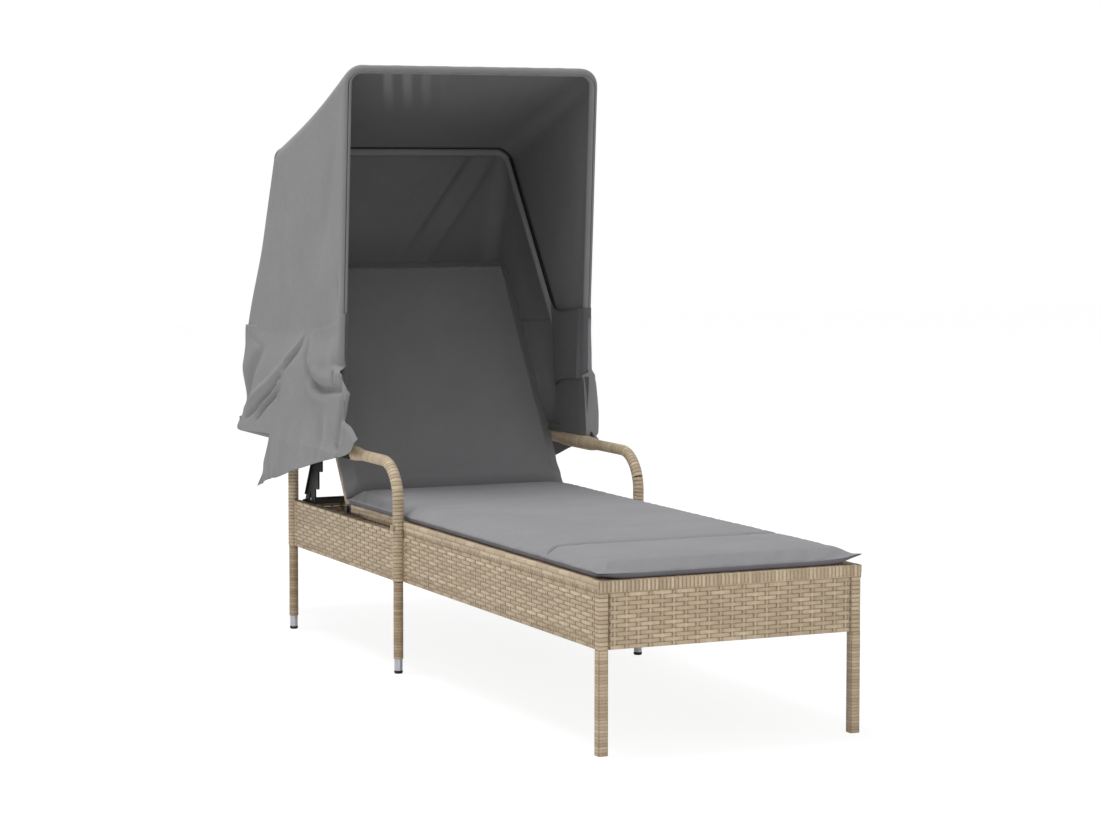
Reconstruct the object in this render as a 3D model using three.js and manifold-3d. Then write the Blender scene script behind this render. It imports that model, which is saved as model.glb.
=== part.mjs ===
// Sun lounger with a folding canopy: woven frame, reclining back on a prop, hood on hinged hoops.
// Millimetres, +Z up. X runs across the lounger, -Y is the foot end and +Y the head end.
// Places along Y are measured from the face of the foot end, and the origin is set at the end.

import * as THREE from 'three';
import { mergeVertices } from 'three/addons/utils/BufferGeometryUtils.js';
import Module from 'manifold-3d';

const solids = await Module();
solids.setup();

// Sizes of the woven seat
const seatWidth = 600;
const deckHeight = 349;
const rimHeight = 24;
const panelDrop = 137;
const skirtBottom = deckHeight - panelDrop;
const rimWidth = 24;
const headRimInset = 20;
const headRimWidth = seatWidth - headRimInset * 2;
const midLegY = 1040;
const rearLegY = 1746;
const seatEndY = 1405;
const deckThickness = 8;
const deckSag = 3;
const crossbarHeight = 18;
const crossbarWidth = 30;
const crossbarCount = 2;
const fitGap = 0.3;

// Sizes of the legs
const frontLegSize = 22;
const frontLegRound = 3;
const lowerLegDiameter = 23;
const legTipDiameter = 19;
const legTipTop = 34;
const footCapHeight = 7;
const footCapDiameter = 21;
const capSoleShare = 0.8;
const capBulgeShare = 0.4;
const capNeckShare = 0.93;

// Sizes of the woven panels
const weaveThickness = 7;
const panelRailDepth = 17;
const panelRailHeight = 18;
const panelInset = 2;
const sidePanelDrop = 22;
const sidePanelTop = deckHeight - sidePanelDrop;
const endPanelDrop = 46;
const endPanelTop = deckHeight - endPanelDrop;
const endPanelThickness = 22;
const sidePanelOutset = 12;

// Sizes of the armrests
const armrestDiameter = 26;
const armrestOutset = 8;
const armrestAxisX = seatWidth / 2 + armrestOutset;
const armrestRise = 147.5;
const armrestTop = deckHeight + armrestRise;
const armrestBend = 88;

// Sizes of the frame bolts
const boltDiameter = 7;
const boltClearance = 0.3;
const boltHeadDiameter = 15;
const boltHeadHeight = 4;

// Sizes of the back and its hinge
const backLength = 680;
const backRailWidth = 22;
const backRailHeight = 25;
const backHingeY = 1430;
const backHingeDrop = 13;
const backHingeZ = deckHeight - backHingeDrop;
const backAngle = 57;
const backWeaveThickness = 6;
const backRailRound = 5;
const backCrossShares = [0.42, 0.72];
const hingePlateThickness = 3;
const hingePlateHeight = 24;
const hingePlateReach = 70;
const pivotDiameter = 8;

// Sizes of the prop
const propLength = 275;
const propTilt = 4;
const propBarWidth = 24;
const propBarThickness = 4;
const propFlangeDepth = 5;
const propFlangeThickness = 3;
const propFootDiameter = 10;
const propStepRun = 24;
const propStepRise = 46;
const propStepCount = 2;
const propPostWidth = 27;
const propPostReach = 58;
const propPostLift = 9;
const propPostRise = 36;
const propStepRound = 4;
const propPlateReach = 190;
const propFlangeStart = 14;
const propWindowStart = 12;
const propTubeSize = 16;
const propTubeInset = 2;
const propTubeLift = 5;
const footPinInset = 5.8;
const footPinEndX = seatWidth / 2 - footPinInset;

// Sizes of the notched racks
const rackThickness = 2.8;
const rackDepth = 40;
const rackLength = 205;
const rackNotchCount = 5;
const rackNotchDepth = 8;
const rackFootGap = 0.6;
const rackHoleDiameter = 6;
const rackRampShare = 0.5;
const rackHoleShares = [0.15, 0.85];

// Sizes of the canopy frame
const hoopDiameter = 17;
const hoopWall = 1.5;
const hoopCorner = 34;
const bracketTipShare = 0.9;
const pivotY = 1371;
const pivotRise = 49.5;
const pivotZ = armrestTop + pivotRise;
const frontHoopAngle = 93.5;
const frontHoopReach = 849;
const frontHoopOutset = 21.3;
const frontHoopAxisX = seatWidth / 2 + frontHoopOutset;
const midHoopAngle = 54.5;
const midHoopReach = 805;
const midHoopOutset = 17.5;
const midHoopAxisX = seatWidth / 2 + midHoopOutset;
const rearHoopOutset = 30;
const rearHoopAxisX = seatWidth / 2 + rearHoopOutset;
const rearHoopDrop = 12.5;
const rearHoopZ = armrestTop - rearHoopDrop;
const rearHoopY = 2114;
const bladeThickness = 3;
const bladeWidth = 18;
const bladeLength = 78;
const bladePlugLength = 24;
const bladeOverlap = 9;
const canopyPlateThickness = 4;
const canopyPlateWidth = 44;
const canopyClampWidth = 26;
const canopyClampWall = 3;
const canopyClampPitch = 90;
const spigotLength = 30;
const spigotReach = 12;

// Sizes of the canopy cloth
const clothThickness = 2;
const clothOffset = 12.2;
const clothSeam = 1.8;
const clothStart = 100;
const clothFrontWrap = 7;
const clothSag = 4;
const clothFold = 3;
const clothRearWrap = 6;
const backClothStart = 120;
const skirtFrontRise = 266;
const skirtTopFront = pivotZ + skirtFrontRise;
const skirtRearRise = 206;
const skirtTopRear = pivotZ + skirtRearRise;
const skirtFrontY = 1358;
const skirtRearY = 2108;
const skirtOffset = 4.8;
const skirtSeamOffset = 2.9;
const skirtSeamShare = 0.2;
const skirtCornerShare = 0.7;
const skirtFlare = 8;
const skirtFold = 1.5;
const skirtFoldShare = 0.35;
const skirtTipLeftY = 1196;
const skirtTipLeftRise = 29.5;
const skirtTipRightY = 1350;
const skirtTipRightDrop = 10.5;
const skirtTips = {
  left: [skirtTipLeftY, armrestTop + skirtTipLeftRise],
  right: [skirtTipRightY, armrestTop - skirtTipRightDrop],
};
const skirtHemArmY = 1410;
const skirtHemArmDrop = 36.5;
const skirtHemArm = armrestTop - skirtHemArmDrop;
const skirtHemLowY = 1842;
const skirtHemLowDrop = 139.5;
const skirtHemLow = armrestTop - skirtHemLowDrop;
const skirtHemRearDrop = 10.5;
const skirtHemRear = armrestTop - skirtHemRearDrop;
const skirtHemStepY = 1850;

// Sizes of the cushions
const cushionInset = 6;
const cushionWidth = seatWidth - cushionInset * 2;
const cushionThickness = 38;
const cushionEdge = 25;
const cushionFront = 3;
const cushionDrawIn = 5;
const cushionSeamY = 290;
const cushionSeamDepth = 7;
const cushionSeamWidth = 16;
const cushionFoldGap = 2;
const backCushionLength = 680;
const maxBackAngle = 70;

// Numbers of flats and rings on round work
const roundSides = 14;
const tubeSides = 12;
const smallSides = 12;
const bendSteps = 6;
const legStations = 6;
const cornerStations = 4;
const barStations = 5;
const clothRows = 12;
const topFolds = 5;
const backFolds = 7;
const skirtColumns = 14;
const skirtRows = 9;
const cushionColumns = 10;
const cushionRows = 36;
const cushionLayers = 2;

const radians = THREE.MathUtils.degToRad;
const across = new THREE.Vector3(1, 0, 0);
const along = new THREE.Vector3(0, 1, 0);
const up = new THREE.Vector3(0, 0, 1);
const sides = { left: -1, right: 1 };

const rattan = new THREE.MeshStandardMaterial({ color: 0xbfa982, roughness: 0.75, metalness: 0 });
const blackSteel = new THREE.MeshStandardMaterial({ color: 0x17181a, roughness: 0.4, metalness: 0.4 });
const silverSteel = new THREE.MeshStandardMaterial({ color: 0xb9bcc0, roughness: 0.35, metalness: 0.9 });
const rubber = new THREE.MeshStandardMaterial({ color: 0x141414, roughness: 0.85, metalness: 0 });
const canopyCloth = new THREE.MeshStandardMaterial({ color: 0x8b8b8d, roughness: 0.95, metalness: 0 });
const cushionCloth = new THREE.MeshStandardMaterial({ color: 0x8c8d90, roughness: 0.95, metalness: 0 });

const lounger = new THREE.Group();

function addPiece(name, geometry, material) {
  const piece = new THREE.Mesh(geometry, material);
  piece.name = name;
  lounger.add(piece);
  return piece;
}

// A path of straight runs joined by round bends, with rings only where the shape needs them
class BentPath extends THREE.Curve {
  constructor(corners, bend, steps = bendSteps) {
    super();
    this.rings = [];
    const last = corners.length - 1;
    const startWay = corners[1].clone().sub(corners[0]).normalize();
    this.rings.push({ point: corners[0].clone(), tangent: startWay });
    for (let i = 1; i < last; i += 1) {
      this.addBend(corners[i - 1], corners[i], corners[i + 1], bend, steps);
    }
    const endWay = corners[last].clone().sub(corners[last - 1]).normalize();
    this.rings.push({ point: corners[last].clone(), tangent: endWay });
  }

  addBend(before, corner, after, bend, steps) {
    const wayIn = corner.clone().sub(before).normalize();
    const wayOut = after.clone().sub(corner).normalize();
    const turn = wayIn.angleTo(wayOut);
    const setback = bend * Math.tan(turn / 2);
    const axis = wayIn.clone().cross(wayOut).normalize();
    const inward = axis.clone().cross(wayIn).normalize();
    const start = corner.clone().addScaledVector(wayIn, -setback);
    const centre = start.clone().addScaledVector(inward, bend);
    for (let i = 0; i <= steps; i += 1) {
      const angle = turn * i / steps;
      const arm = inward.clone().multiplyScalar(-bend).applyAxisAngle(axis, angle);
      const tangent = wayIn.clone().applyAxisAngle(axis, angle);
      this.rings.push({ point: centre.clone().add(arm), tangent });
    }
  }

  ringAt(share) {
    return this.rings[Math.round(share * (this.rings.length - 1))];
  }

  getPointAt(share, target = new THREE.Vector3()) {
    return target.copy(this.ringAt(share).point);
  }

  getTangentAt(share, target = new THREE.Vector3()) {
    return target.copy(this.ringAt(share).tangent);
  }
}

function circleShape(radius, count) {
  const shape = new THREE.Shape();
  for (let i = 0; i < count; i += 1) {
    const angle = 2 * Math.PI * i / count;
    const x = radius * Math.cos(angle);
    const y = radius * Math.sin(angle);
    if (i === 0) shape.moveTo(x, y);
    else shape.lineTo(x, y);
  }
  shape.closePath();
  return shape;
}

function sweptTube(path, diameter, wall = 0, count = tubeSides) {
  const shape = circleShape(diameter / 2, count);
  if (wall > 0) shape.holes.push(circleShape(diameter / 2 - wall, count));
  return new THREE.ExtrudeGeometry(shape, {
    steps: path.rings.length - 1,
    extrudePath: path,
    bevelEnabled: false,
  });
}

// An outline drawn in the Y and Z of the lounger, given a thickness from x0 to x1
function plateAcross(shape, x0, x1, curveSegments = bendSteps) {
  const geometry = new THREE.ExtrudeGeometry(shape, {
    depth: Math.abs(x1 - x0),
    bevelEnabled: false,
    curveSegments,
  });
  geometry.applyMatrix4(new THREE.Matrix4().makeBasis(along, up, across));
  geometry.translate(Math.min(x0, x1), 0, 0);
  return geometry;
}

// An outline drawn in X and Z, run along the lounger from y0 to y1
function barAlong(shape, y0, y1) {
  const geometry = new THREE.ExtrudeGeometry(shape, { depth: y1 - y0, bevelEnabled: false });
  geometry.applyMatrix4(new THREE.Matrix4().makeBasis(across, up, along.clone().negate()));
  geometry.translate(0, y1, 0);
  return geometry;
}

// An outline drawn in X and Y, run upward from z0 to z1
function slab(shape, z0, z1) {
  const geometry = new THREE.ExtrudeGeometry(shape, {
    depth: z1 - z0,
    bevelEnabled: false,
    curveSegments: bendSteps / 2,
  });
  geometry.translate(0, 0, z0);
  return geometry;
}

function rodAcross(radius, x0, x1, y, z, count = smallSides) {
  const geometry = new THREE.CylinderGeometry(radius, radius, Math.abs(x1 - x0), count);
  geometry.rotateZ(Math.PI / 2);
  geometry.translate((x0 + x1) / 2, y, z);
  return geometry;
}

function block(x0, x1, y0, y1, z0, z1) {
  const geometry = new THREE.BoxGeometry(Math.abs(x1 - x0), Math.abs(y1 - y0), Math.abs(z1 - z0));
  geometry.translate((x0 + x1) / 2, (y0 + y1) / 2, (z0 + z1) / 2);
  return geometry;
}

function outline(points) {
  return new THREE.Shape(points.map(([x, y]) => new THREE.Vector2(x, y)));
}

function roundedRectangle(width, height, round, x = 0, y = 0) {
  const shape = new THREE.Shape();
  const left = x - width / 2;
  const right = x + width / 2;
  const low = y - height / 2;
  const high = y + height / 2;
  shape.moveTo(left + round, low);
  shape.lineTo(right - round, low);
  shape.quadraticCurveTo(right, low, right, low + round);
  shape.lineTo(right, high - round);
  shape.quadraticCurveTo(right, high, right - round, high);
  shape.lineTo(left + round, high);
  shape.quadraticCurveTo(left, high, left, high - round);
  shape.lineTo(left, low + round);
  shape.quadraticCurveTo(left, low, left + round, low);
  return shape;
}

// Joins and cuts of closed bodies
function toSolid(geometry) {
  const bare = geometry.clone();
  bare.deleteAttribute('normal');
  bare.deleteAttribute('uv');
  const merged = mergeVertices(bare);
  return new solids.Manifold(new solids.Mesh({
    numProp: 3,
    vertProperties: new Float32Array(merged.attributes.position.array),
    triVerts: new Uint32Array(merged.index.array),
  }));
}

function toGeometry(solid) {
  const mesh = solid.getMesh();
  const geometry = new THREE.BufferGeometry();
  geometry.setAttribute('position', new THREE.BufferAttribute(mesh.vertProperties, 3));
  geometry.setIndex(new THREE.BufferAttribute(mesh.triVerts, 1));
  geometry.computeVertexNormals();
  return geometry;
}

function joined(...geometries) {
  return toGeometry(geometries.map(toSolid).reduce((sum, next) => sum.add(next)));
}

function cut(geometry, ...tools) {
  return toGeometry(tools.map(toSolid).reduce((rest, tool) => rest.subtract(tool), toSolid(geometry)));
}

// A thin cloth through a grid of points, as a closed body of even thickness
function clothSolid(grid, thickness) {
  const rows = grid.length;
  const columns = grid[0].length;
  const positions = [];
  const faces = [];
  const normalAt = (i, j) => {
    const alongRow = grid[i][Math.min(j + 1, columns - 1)].clone().sub(grid[i][Math.max(j - 1, 0)]);
    const alongColumn = grid[Math.min(i + 1, rows - 1)][j].clone().sub(grid[Math.max(i - 1, 0)][j]);
    return alongRow.cross(alongColumn).normalize();
  };
  for (const side of [1, -1]) {
    for (let i = 0; i < rows; i += 1) {
      for (let j = 0; j < columns; j += 1) {
        const point = grid[i][j].clone().addScaledVector(normalAt(i, j), side * thickness / 2);
        positions.push(point.x, point.y, point.z);
      }
    }
  }
  const index = (layer, i, j) => layer * rows * columns + i * columns + j;
  const quad = (a, b, c, d) => faces.push(a, b, c, a, c, d);
  for (let i = 0; i < rows - 1; i += 1) {
    for (let j = 0; j < columns - 1; j += 1) {
      quad(index(0, i, j), index(0, i, j + 1), index(0, i + 1, j + 1), index(0, i + 1, j));
      quad(index(1, i, j), index(1, i + 1, j), index(1, i + 1, j + 1), index(1, i, j + 1));
    }
  }
  for (let j = 0; j < columns - 1; j += 1) {
    quad(index(1, 0, j), index(1, 0, j + 1), index(0, 0, j + 1), index(0, 0, j));
    quad(index(0, rows - 1, j), index(0, rows - 1, j + 1), index(1, rows - 1, j + 1), index(1, rows - 1, j));
  }
  for (let i = 0; i < rows - 1; i += 1) {
    quad(index(0, i, 0), index(0, i + 1, 0), index(1, i + 1, 0), index(1, i, 0));
    quad(index(1, i, columns - 1), index(1, i + 1, columns - 1), index(0, i + 1, columns - 1),
      index(0, i, columns - 1));
  }
  const geometry = new THREE.BufferGeometry();
  geometry.setAttribute('position', new THREE.Float32BufferAttribute(positions, 3));
  geometry.setIndex(faces);
  geometry.computeVertexNormals();
  return geometry;
}

// Seat frame: the wrapped rim, wide in front of the armrests and narrower between them
const armrestRadius = armrestDiameter / 2;
const rimFrontEnd = midLegY - armrestRadius - fitGap;
const rimOutline = [
  [-seatWidth / 2, 0],
  [seatWidth / 2, 0],
  [seatWidth / 2, rimFrontEnd],
  [headRimWidth / 2, rimFrontEnd],
  [headRimWidth / 2, seatEndY],
  [-headRimWidth / 2, seatEndY],
  [-headRimWidth / 2, rimFrontEnd],
  [-seatWidth / 2, rimFrontEnd],
];
const deckHalfWidth = headRimWidth / 2 - rimWidth;

function buildSeatFrame() {
  const rim = outline(rimOutline);
  rim.holes.push(outline([
    [-deckHalfWidth, rimWidth],
    [-deckHalfWidth, seatEndY - rimWidth],
    [deckHalfWidth, seatEndY - rimWidth],
    [deckHalfWidth, rimWidth],
  ]));
  const ring = slab(rim, deckHeight - rimHeight, deckHeight);
  const holes = Object.values(sides).map((side) => frameBoltHole(side));
  addPiece('seat_frame', cut(ring, ...holes), rattan);

  const deckTop = deckHeight - deckSag;
  addPiece('seat_deck', block(
    -deckHalfWidth + fitGap,
    deckHalfWidth - fitGap,
    rimWidth + fitGap,
    seatEndY - rimWidth - fitGap,
    deckTop - deckThickness,
    deckTop,
  ), rattan);

  const crossbarTop = deckTop - deckThickness - fitGap;
  const crossbarLength = deckHalfWidth - fitGap;
  const pitch = (seatEndY - rimWidth) / (crossbarCount + 1);
  for (let i = 1; i <= crossbarCount; i += 1) {
    const y = rimWidth / 2 + pitch * i;
    addPiece(`deck_crossbar_${i}`, block(
      -crossbarLength,
      crossbarLength,
      y - crossbarWidth / 2,
      y + crossbarWidth / 2,
      crossbarTop - crossbarHeight,
      crossbarTop,
    ), blackSteel);
  }
}

// Bolts that hold the armrest frames to the seat frame
const frameBoltZ = deckHeight - rimHeight / 2;
const armrestInnerX = armrestAxisX - armrestRadius;
const armrestOuterX = armrestAxisX + armrestRadius;
const frameBoltEndX = headRimWidth / 2 - rimWidth / 2;

function frameBoltHole(side) {
  const radius = boltDiameter / 2 + boltClearance;
  return rodAcross(radius, side * (frameBoltEndX - fitGap), side * (armrestOuterX + boltDiameter), midLegY, frameBoltZ);
}

function buildFrameBolt(name, side) {
  const head = rodAcross(
    boltHeadDiameter / 2,
    side * (armrestOuterX + fitGap),
    side * (armrestOuterX + fitGap + boltHeadHeight),
    midLegY,
    frameBoltZ,
  );
  const shank = rodAcross(
    boltDiameter / 2,
    side * frameBoltEndX,
    side * (armrestOuterX + boltHeadHeight),
    midLegY,
    frameBoltZ,
  );
  addPiece(`frame_bolt_${name}`, joined(shank, head), blackSteel);
}

// Front legs: square, wrapped down to the floor, under the rim's corners
function buildFrontLeg(name, side) {
  const inset = frontLegSize / 2;
  const x = side * (seatWidth / 2 - inset);
  const section = roundedRectangle(frontLegSize, frontLegSize, frontLegRound, x, inset);
  addPiece(`front_leg_${name}`, slab(section, 0, deckHeight - rimHeight - fitGap), rattan);
}

// A woven panel along the lounger: a flat weave outside, with a rail along its top and bottom
function panelSection(side, outerX, innerX, z0, z1) {
  const weaveX = outerX - weaveThickness;
  const points = [
    [outerX, z0],
    [outerX, z1],
    [innerX, z1],
    [innerX, z1 - panelRailHeight],
    [weaveX, z1 - panelRailHeight],
    [weaveX, z0 + panelRailHeight],
    [innerX, z0 + panelRailHeight],
    [innerX, z0],
  ];
  return outline(points.map(([x, z]) => [side * x, z]));
}

const seatPanelTop = deckHeight - rimHeight - fitGap;
const panelOuterX = seatWidth / 2 - panelInset;
const rearPanelOuterX = armrestAxisX - armrestRadius + sidePanelOutset + panelInset * 2;
const rearPanelInnerX = armrestInnerX - fitGap;

function buildSidePanels(name, side) {
  addPiece(`front_side_panel_${name}`, barAlong(
    panelSection(side, panelOuterX, panelOuterX - panelRailDepth, skirtBottom, seatPanelTop),
    frontLegSize + fitGap,
    rimFrontEnd,
  ), rattan);
  addPiece(`rear_side_panel_${name}`, barAlong(
    panelSection(side, rearPanelOuterX, rearPanelInnerX, skirtBottom, sidePanelTop),
    midLegY + armrestRadius + fitGap,
    rearLegY - armrestRadius - fitGap,
  ), rattan);
}

function buildEndPanels() {
  const footHalf = seatWidth / 2 - frontLegSize - fitGap;
  const footSection = outline([
    [panelInset, skirtBottom],
    [panelInset + panelRailDepth, skirtBottom],
    [panelInset + panelRailDepth, skirtBottom + panelRailHeight],
    [panelInset + weaveThickness, skirtBottom + panelRailHeight],
    [panelInset + weaveThickness, seatPanelTop - panelRailHeight],
    [panelInset + panelRailDepth, seatPanelTop - panelRailHeight],
    [panelInset + panelRailDepth, seatPanelTop],
    [panelInset, seatPanelTop],
  ]);
  addPiece('foot_end_panel', plateAcross(footSection, -footHalf, footHalf), rattan);

  const headHalf = armrestInnerX - fitGap;
  const y0 = rearLegY - endPanelThickness / 2;
  const y1 = rearLegY + endPanelThickness / 2;
  const headSection = outline([
    [y0, skirtBottom],
    [y1, skirtBottom],
    [y1, endPanelTop],
    [y0, endPanelTop],
    [y0, endPanelTop - panelRailHeight],
    [y1 - weaveThickness, endPanelTop - panelRailHeight],
    [y1 - weaveThickness, skirtBottom + panelRailHeight],
    [y0, skirtBottom + panelRailHeight],
  ]);
  addPiece('head_end_panel', plateAcross(headSection, -headHalf, headHalf), rattan);
}

// Armrest: one wrapped tube from the middle post over to the rear post
function buildArmrest(name, side) {
  const x = side * armrestAxisX;
  const topZ = armrestTop - armrestRadius;
  const foot = skirtBottom;
  const path = new BentPath([
    new THREE.Vector3(x, midLegY, foot),
    new THREE.Vector3(x, midLegY, topZ),
    new THREE.Vector3(x, rearLegY, topZ),
    new THREE.Vector3(x, rearLegY, foot),
  ], armrestBend);
  const tube = sweptTube(path, armrestDiameter, 0, roundSides);
  addPiece(`armrest_${name}`, cut(tube, frameBoltHole(side)), rattan);
}

// Lower legs under the armrest posts, each with a bright tip and a rubber foot
function buildLowerLeg(name, side, y) {
  const x = side * armrestAxisX;
  const legTop = skirtBottom - fitGap;
  const leg = new THREE.CylinderGeometry(lowerLegDiameter / 2, lowerLegDiameter / 2, legTop - legTipTop, roundSides);
  leg.rotateX(Math.PI / 2);
  leg.translate(x, y, (legTop + legTipTop) / 2);
  addPiece(`${name}_lower_leg`, leg, rattan);

  const tipTop = legTipTop - fitGap;
  const tip = new THREE.CylinderGeometry(legTipDiameter / 2, legTipDiameter / 2, tipTop - footCapHeight, roundSides);
  tip.rotateX(Math.PI / 2);
  tip.translate(x, y, (tipTop + footCapHeight) / 2);
  addPiece(`${name}_leg_tip`, tip, silverSteel);

  const capTop = footCapHeight - fitGap;
  const capRadius = footCapDiameter / 2;
  const cap = new THREE.LatheGeometry([
    new THREE.Vector2(0, 0),
    new THREE.Vector2(capRadius * capSoleShare, 0),
    new THREE.Vector2(capRadius, capTop * capBulgeShare),
    new THREE.Vector2(capRadius * capNeckShare, capTop),
    new THREE.Vector2(0, capTop),
  ], roundSides);
  cap.rotateX(Math.PI / 2);
  cap.translate(x, y, 0);
  addPiece(`${name}_foot_cap`, cap, rubber);
}

// The back's own directions at rest: along it from its hinge, and square to it towards the sitter
const backTurn = radians(backAngle);
const backEnd = (length) => backHingeY + length * Math.cos(backTurn);
const backRise = (length) => backHingeZ + length * Math.sin(backTurn);

function leanBack(geometry) {
  geometry.rotateX(backTurn);
  geometry.translate(0, backHingeY, backHingeZ);
  return geometry;
}

// Hinge of the back: a plate on each side of the seat frame and a bolt through the back's rail
const railOuterX = headRimWidth / 2;
const railInnerX = railOuterX - backRailWidth;
const hingePlateX = railOuterX + fitGap;

function buildBackHinge(name, side) {
  const radius = hingePlateHeight / 2;
  const plate = new THREE.Shape();
  plate.moveTo(backHingeY - hingePlateReach, backHingeZ - radius);
  plate.lineTo(backHingeY, backHingeZ - radius);
  plate.absarc(backHingeY, backHingeZ, radius, -Math.PI / 2, Math.PI / 2, false);
  plate.lineTo(backHingeY - hingePlateReach, backHingeZ + radius);
  plate.closePath();
  const hole = new THREE.Path();
  hole.absarc(backHingeY, backHingeZ, pivotDiameter / 2 + boltClearance, 0, 2 * Math.PI, true);
  plate.holes.push(hole);
  addPiece(`back_hinge_plate_${name}`, plateAcross(
    plate,
    side * hingePlateX,
    side * (hingePlateX + hingePlateThickness),
  ), blackSteel);
  addPiece(`back_hinge_bolt_${name}`, headedBolt(
    side,
    railInnerX + fitGap,
    hingePlateX + hingePlateThickness + fitGap,
    backHingeY,
    backHingeZ,
  ), silverSteel);
}

function headedBolt(side, shankInnerX, headX, y, z) {
  const shank = rodAcross(pivotDiameter / 2, side * shankInnerX, side * (headX + boltHeadHeight / 2), y, z);
  const head = rodAcross(boltHeadDiameter / 2, side * headX, side * (headX + boltHeadHeight), y, z);
  return joined(shank, head);
}

// The back: a wrapped frame with a woven panel let into it and black bars behind the weave
function buildBackrest() {
  const frame = outline([
    [-railOuterX, -backRailHeight / 2],
    [railOuterX, -backRailHeight / 2],
    [railOuterX, backLength - backRailRound],
    [railOuterX - backRailRound, backLength],
    [-railOuterX + backRailRound, backLength],
    [-railOuterX, backLength - backRailRound],
  ]);
  const openingStart = backRailHeight / 2;
  const openingEnd = backLength - backRailWidth;
  frame.holes.push(outline([
    [-railInnerX, openingStart],
    [-railInnerX, openingEnd],
    [railInnerX, openingEnd],
    [railInnerX, openingStart],
  ]));
  const ring = slab(frame, -backRailHeight / 2, backRailHeight / 2);
  const holeRadius = pivotDiameter / 2 + boltClearance;
  const holes = [];
  for (const side of Object.values(sides)) {
    for (const place of [0, propLength]) {
      holes.push(rodAcross(
        holeRadius,
        side * (railInnerX - boltHeadHeight),
        side * (railOuterX + boltHeadHeight),
        place,
        0,
      ));
    }
  }
  addPiece('back_frame', leanBack(cut(ring, ...holes)), rattan);

  const weaveTop = backRailHeight / 2 - deckSag;
  addPiece('back_panel', leanBack(block(
    -railInnerX + fitGap,
    railInnerX - fitGap,
    openingStart + fitGap,
    openingEnd - fitGap,
    weaveTop - backWeaveThickness,
    weaveTop,
  )), rattan);

  const barTop = weaveTop - backWeaveThickness - fitGap;
  backCrossShares.forEach((share, i) => {
    const place = backLength * share;
    addPiece(`back_crossbar_${i + 1}`, leanBack(block(
      -railInnerX + fitGap,
      railInnerX - fitGap,
      place - crossbarWidth / 2,
      place + crossbarWidth / 2,
      -backRailHeight / 2,
      barTop,
    )), blackSteel);
  });
}

// The prop: two stepped arms hinged on the back's rails, a tube between them, and a foot pin on each.
// The back and the prop are the two equal sides of a triangle, so its foot stays level as the back moves.
const propAngle = -radians(backAngle + propTilt);
const propTopY = backEnd(propLength);
const propTopZ = backRise(propLength);
const propFootY = propTopY + propLength * Math.cos(propAngle);
const propFootZ = propTopZ + propLength * Math.sin(propAngle);
const armX = railOuterX + fitGap;

function propPoint(reach, offset) {
  return [
    propFootY - reach * Math.cos(propAngle) - offset * Math.sin(propAngle),
    propFootZ - reach * Math.sin(propAngle) + offset * Math.cos(propAngle),
  ];
}

function arcPoints(y, z, radius, fromAngle, toAngle, steps) {
  const points = [];
  for (let i = 0; i <= steps; i += 1) {
    const angle = fromAngle + (toAngle - fromAngle) * i / steps;
    points.push([y + radius * Math.cos(angle), z + radius * Math.sin(angle)]);
  }
  return points;
}

function propPlateOutline() {
  const half = propBarWidth / 2;
  const points = arcPoints(
    propTopY,
    propTopZ,
    half,
    propAngle - Math.PI / 2,
    propAngle - 3 * Math.PI / 2,
    smallSides,
  );
  points.push(...arcPoints(propFootY, propFootZ, half, propAngle + Math.PI / 2, -Math.PI / 2, bendSteps));
  const postY = propFootY - propPostReach;
  points.push([postY, propFootZ - half + propPostLift]);
  for (let i = 0; i < propStepCount; i += 1) {
    const y = postY - propStepRun * i;
    const z = propFootZ + propPostRise + propStepRise * i;
    points.push([y, z]);
    points.push(...arcPoints(
      y - propStepRun + propStepRound,
      z + propStepRound,
      propStepRound,
      -Math.PI / 2,
      -Math.PI,
      bendSteps / 2,
    ));
  }
  const topZ = propFootZ + propPostRise + propStepRise * propStepCount;
  points.push([postY - propStepRun * propStepCount, topZ]);
  points.push(propPoint(propPlateReach, -half));
  return points;
}

function buildPropArm(name, side) {
  const half = propBarWidth / 2;
  const plate = outline(propPlateOutline().reverse());
  plate.holes.push(new THREE.Path(
    arcPoints(propTopY, propTopZ, pivotDiameter / 2 + boltClearance, 0, -2 * Math.PI, smallSides)
      .slice(1)
      .map(([y, z]) => new THREE.Vector2(y, z)),
  ));
  const windowSpan = propPostReach - propPostWidth;
  const windowReach = (windowSpan + half * Math.sin(propAngle)) / Math.cos(propAngle);
  const windowTop = propPoint(windowReach, -half);
  const windowRear = propPoint(propWindowStart, -half);
  plate.holes.push(outline([[windowTop[0], windowRear[1]], windowTop, windowRear]));
  const sheet = plateAcross(plate, side * armX, side * (armX + propBarThickness));
  const flange = outline([
    propPoint(propFlangeStart, half),
    propPoint(propLength - propFlangeStart, half),
    propPoint(propLength - propFlangeStart, half - propFlangeThickness),
    propPoint(propFlangeStart, half - propFlangeThickness),
  ]);
  const lip = plateAcross(flange, side * armX, side * (armX + propBarThickness + propFlangeDepth));
  const pin = rodAcross(propFootDiameter / 2, side * (armX + propBarThickness / 2), side * footPinEndX,
    propFootY, propFootZ);
  addPiece(`prop_arm_${name}`, joined(sheet, lip, pin), blackSteel);
  addPiece(`prop_bolt_${name}`, headedBolt(
    side,
    railInnerX + fitGap,
    armX + propBarThickness + fitGap,
    propTopY,
    propTopZ,
  ), silverSteel);
}

function buildPropTube() {
  const section = roundedRectangle(
    propTubeSize,
    propTubeSize,
    propStepRound,
    propFootY - propPostReach + propPostWidth / 2 + propTubeInset / 2,
    propFootZ + propTubeLift,
  );
  addPiece('prop_cross_tube', plateAcross(section, -railOuterX, railOuterX, 2), blackSteel);
}

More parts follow.
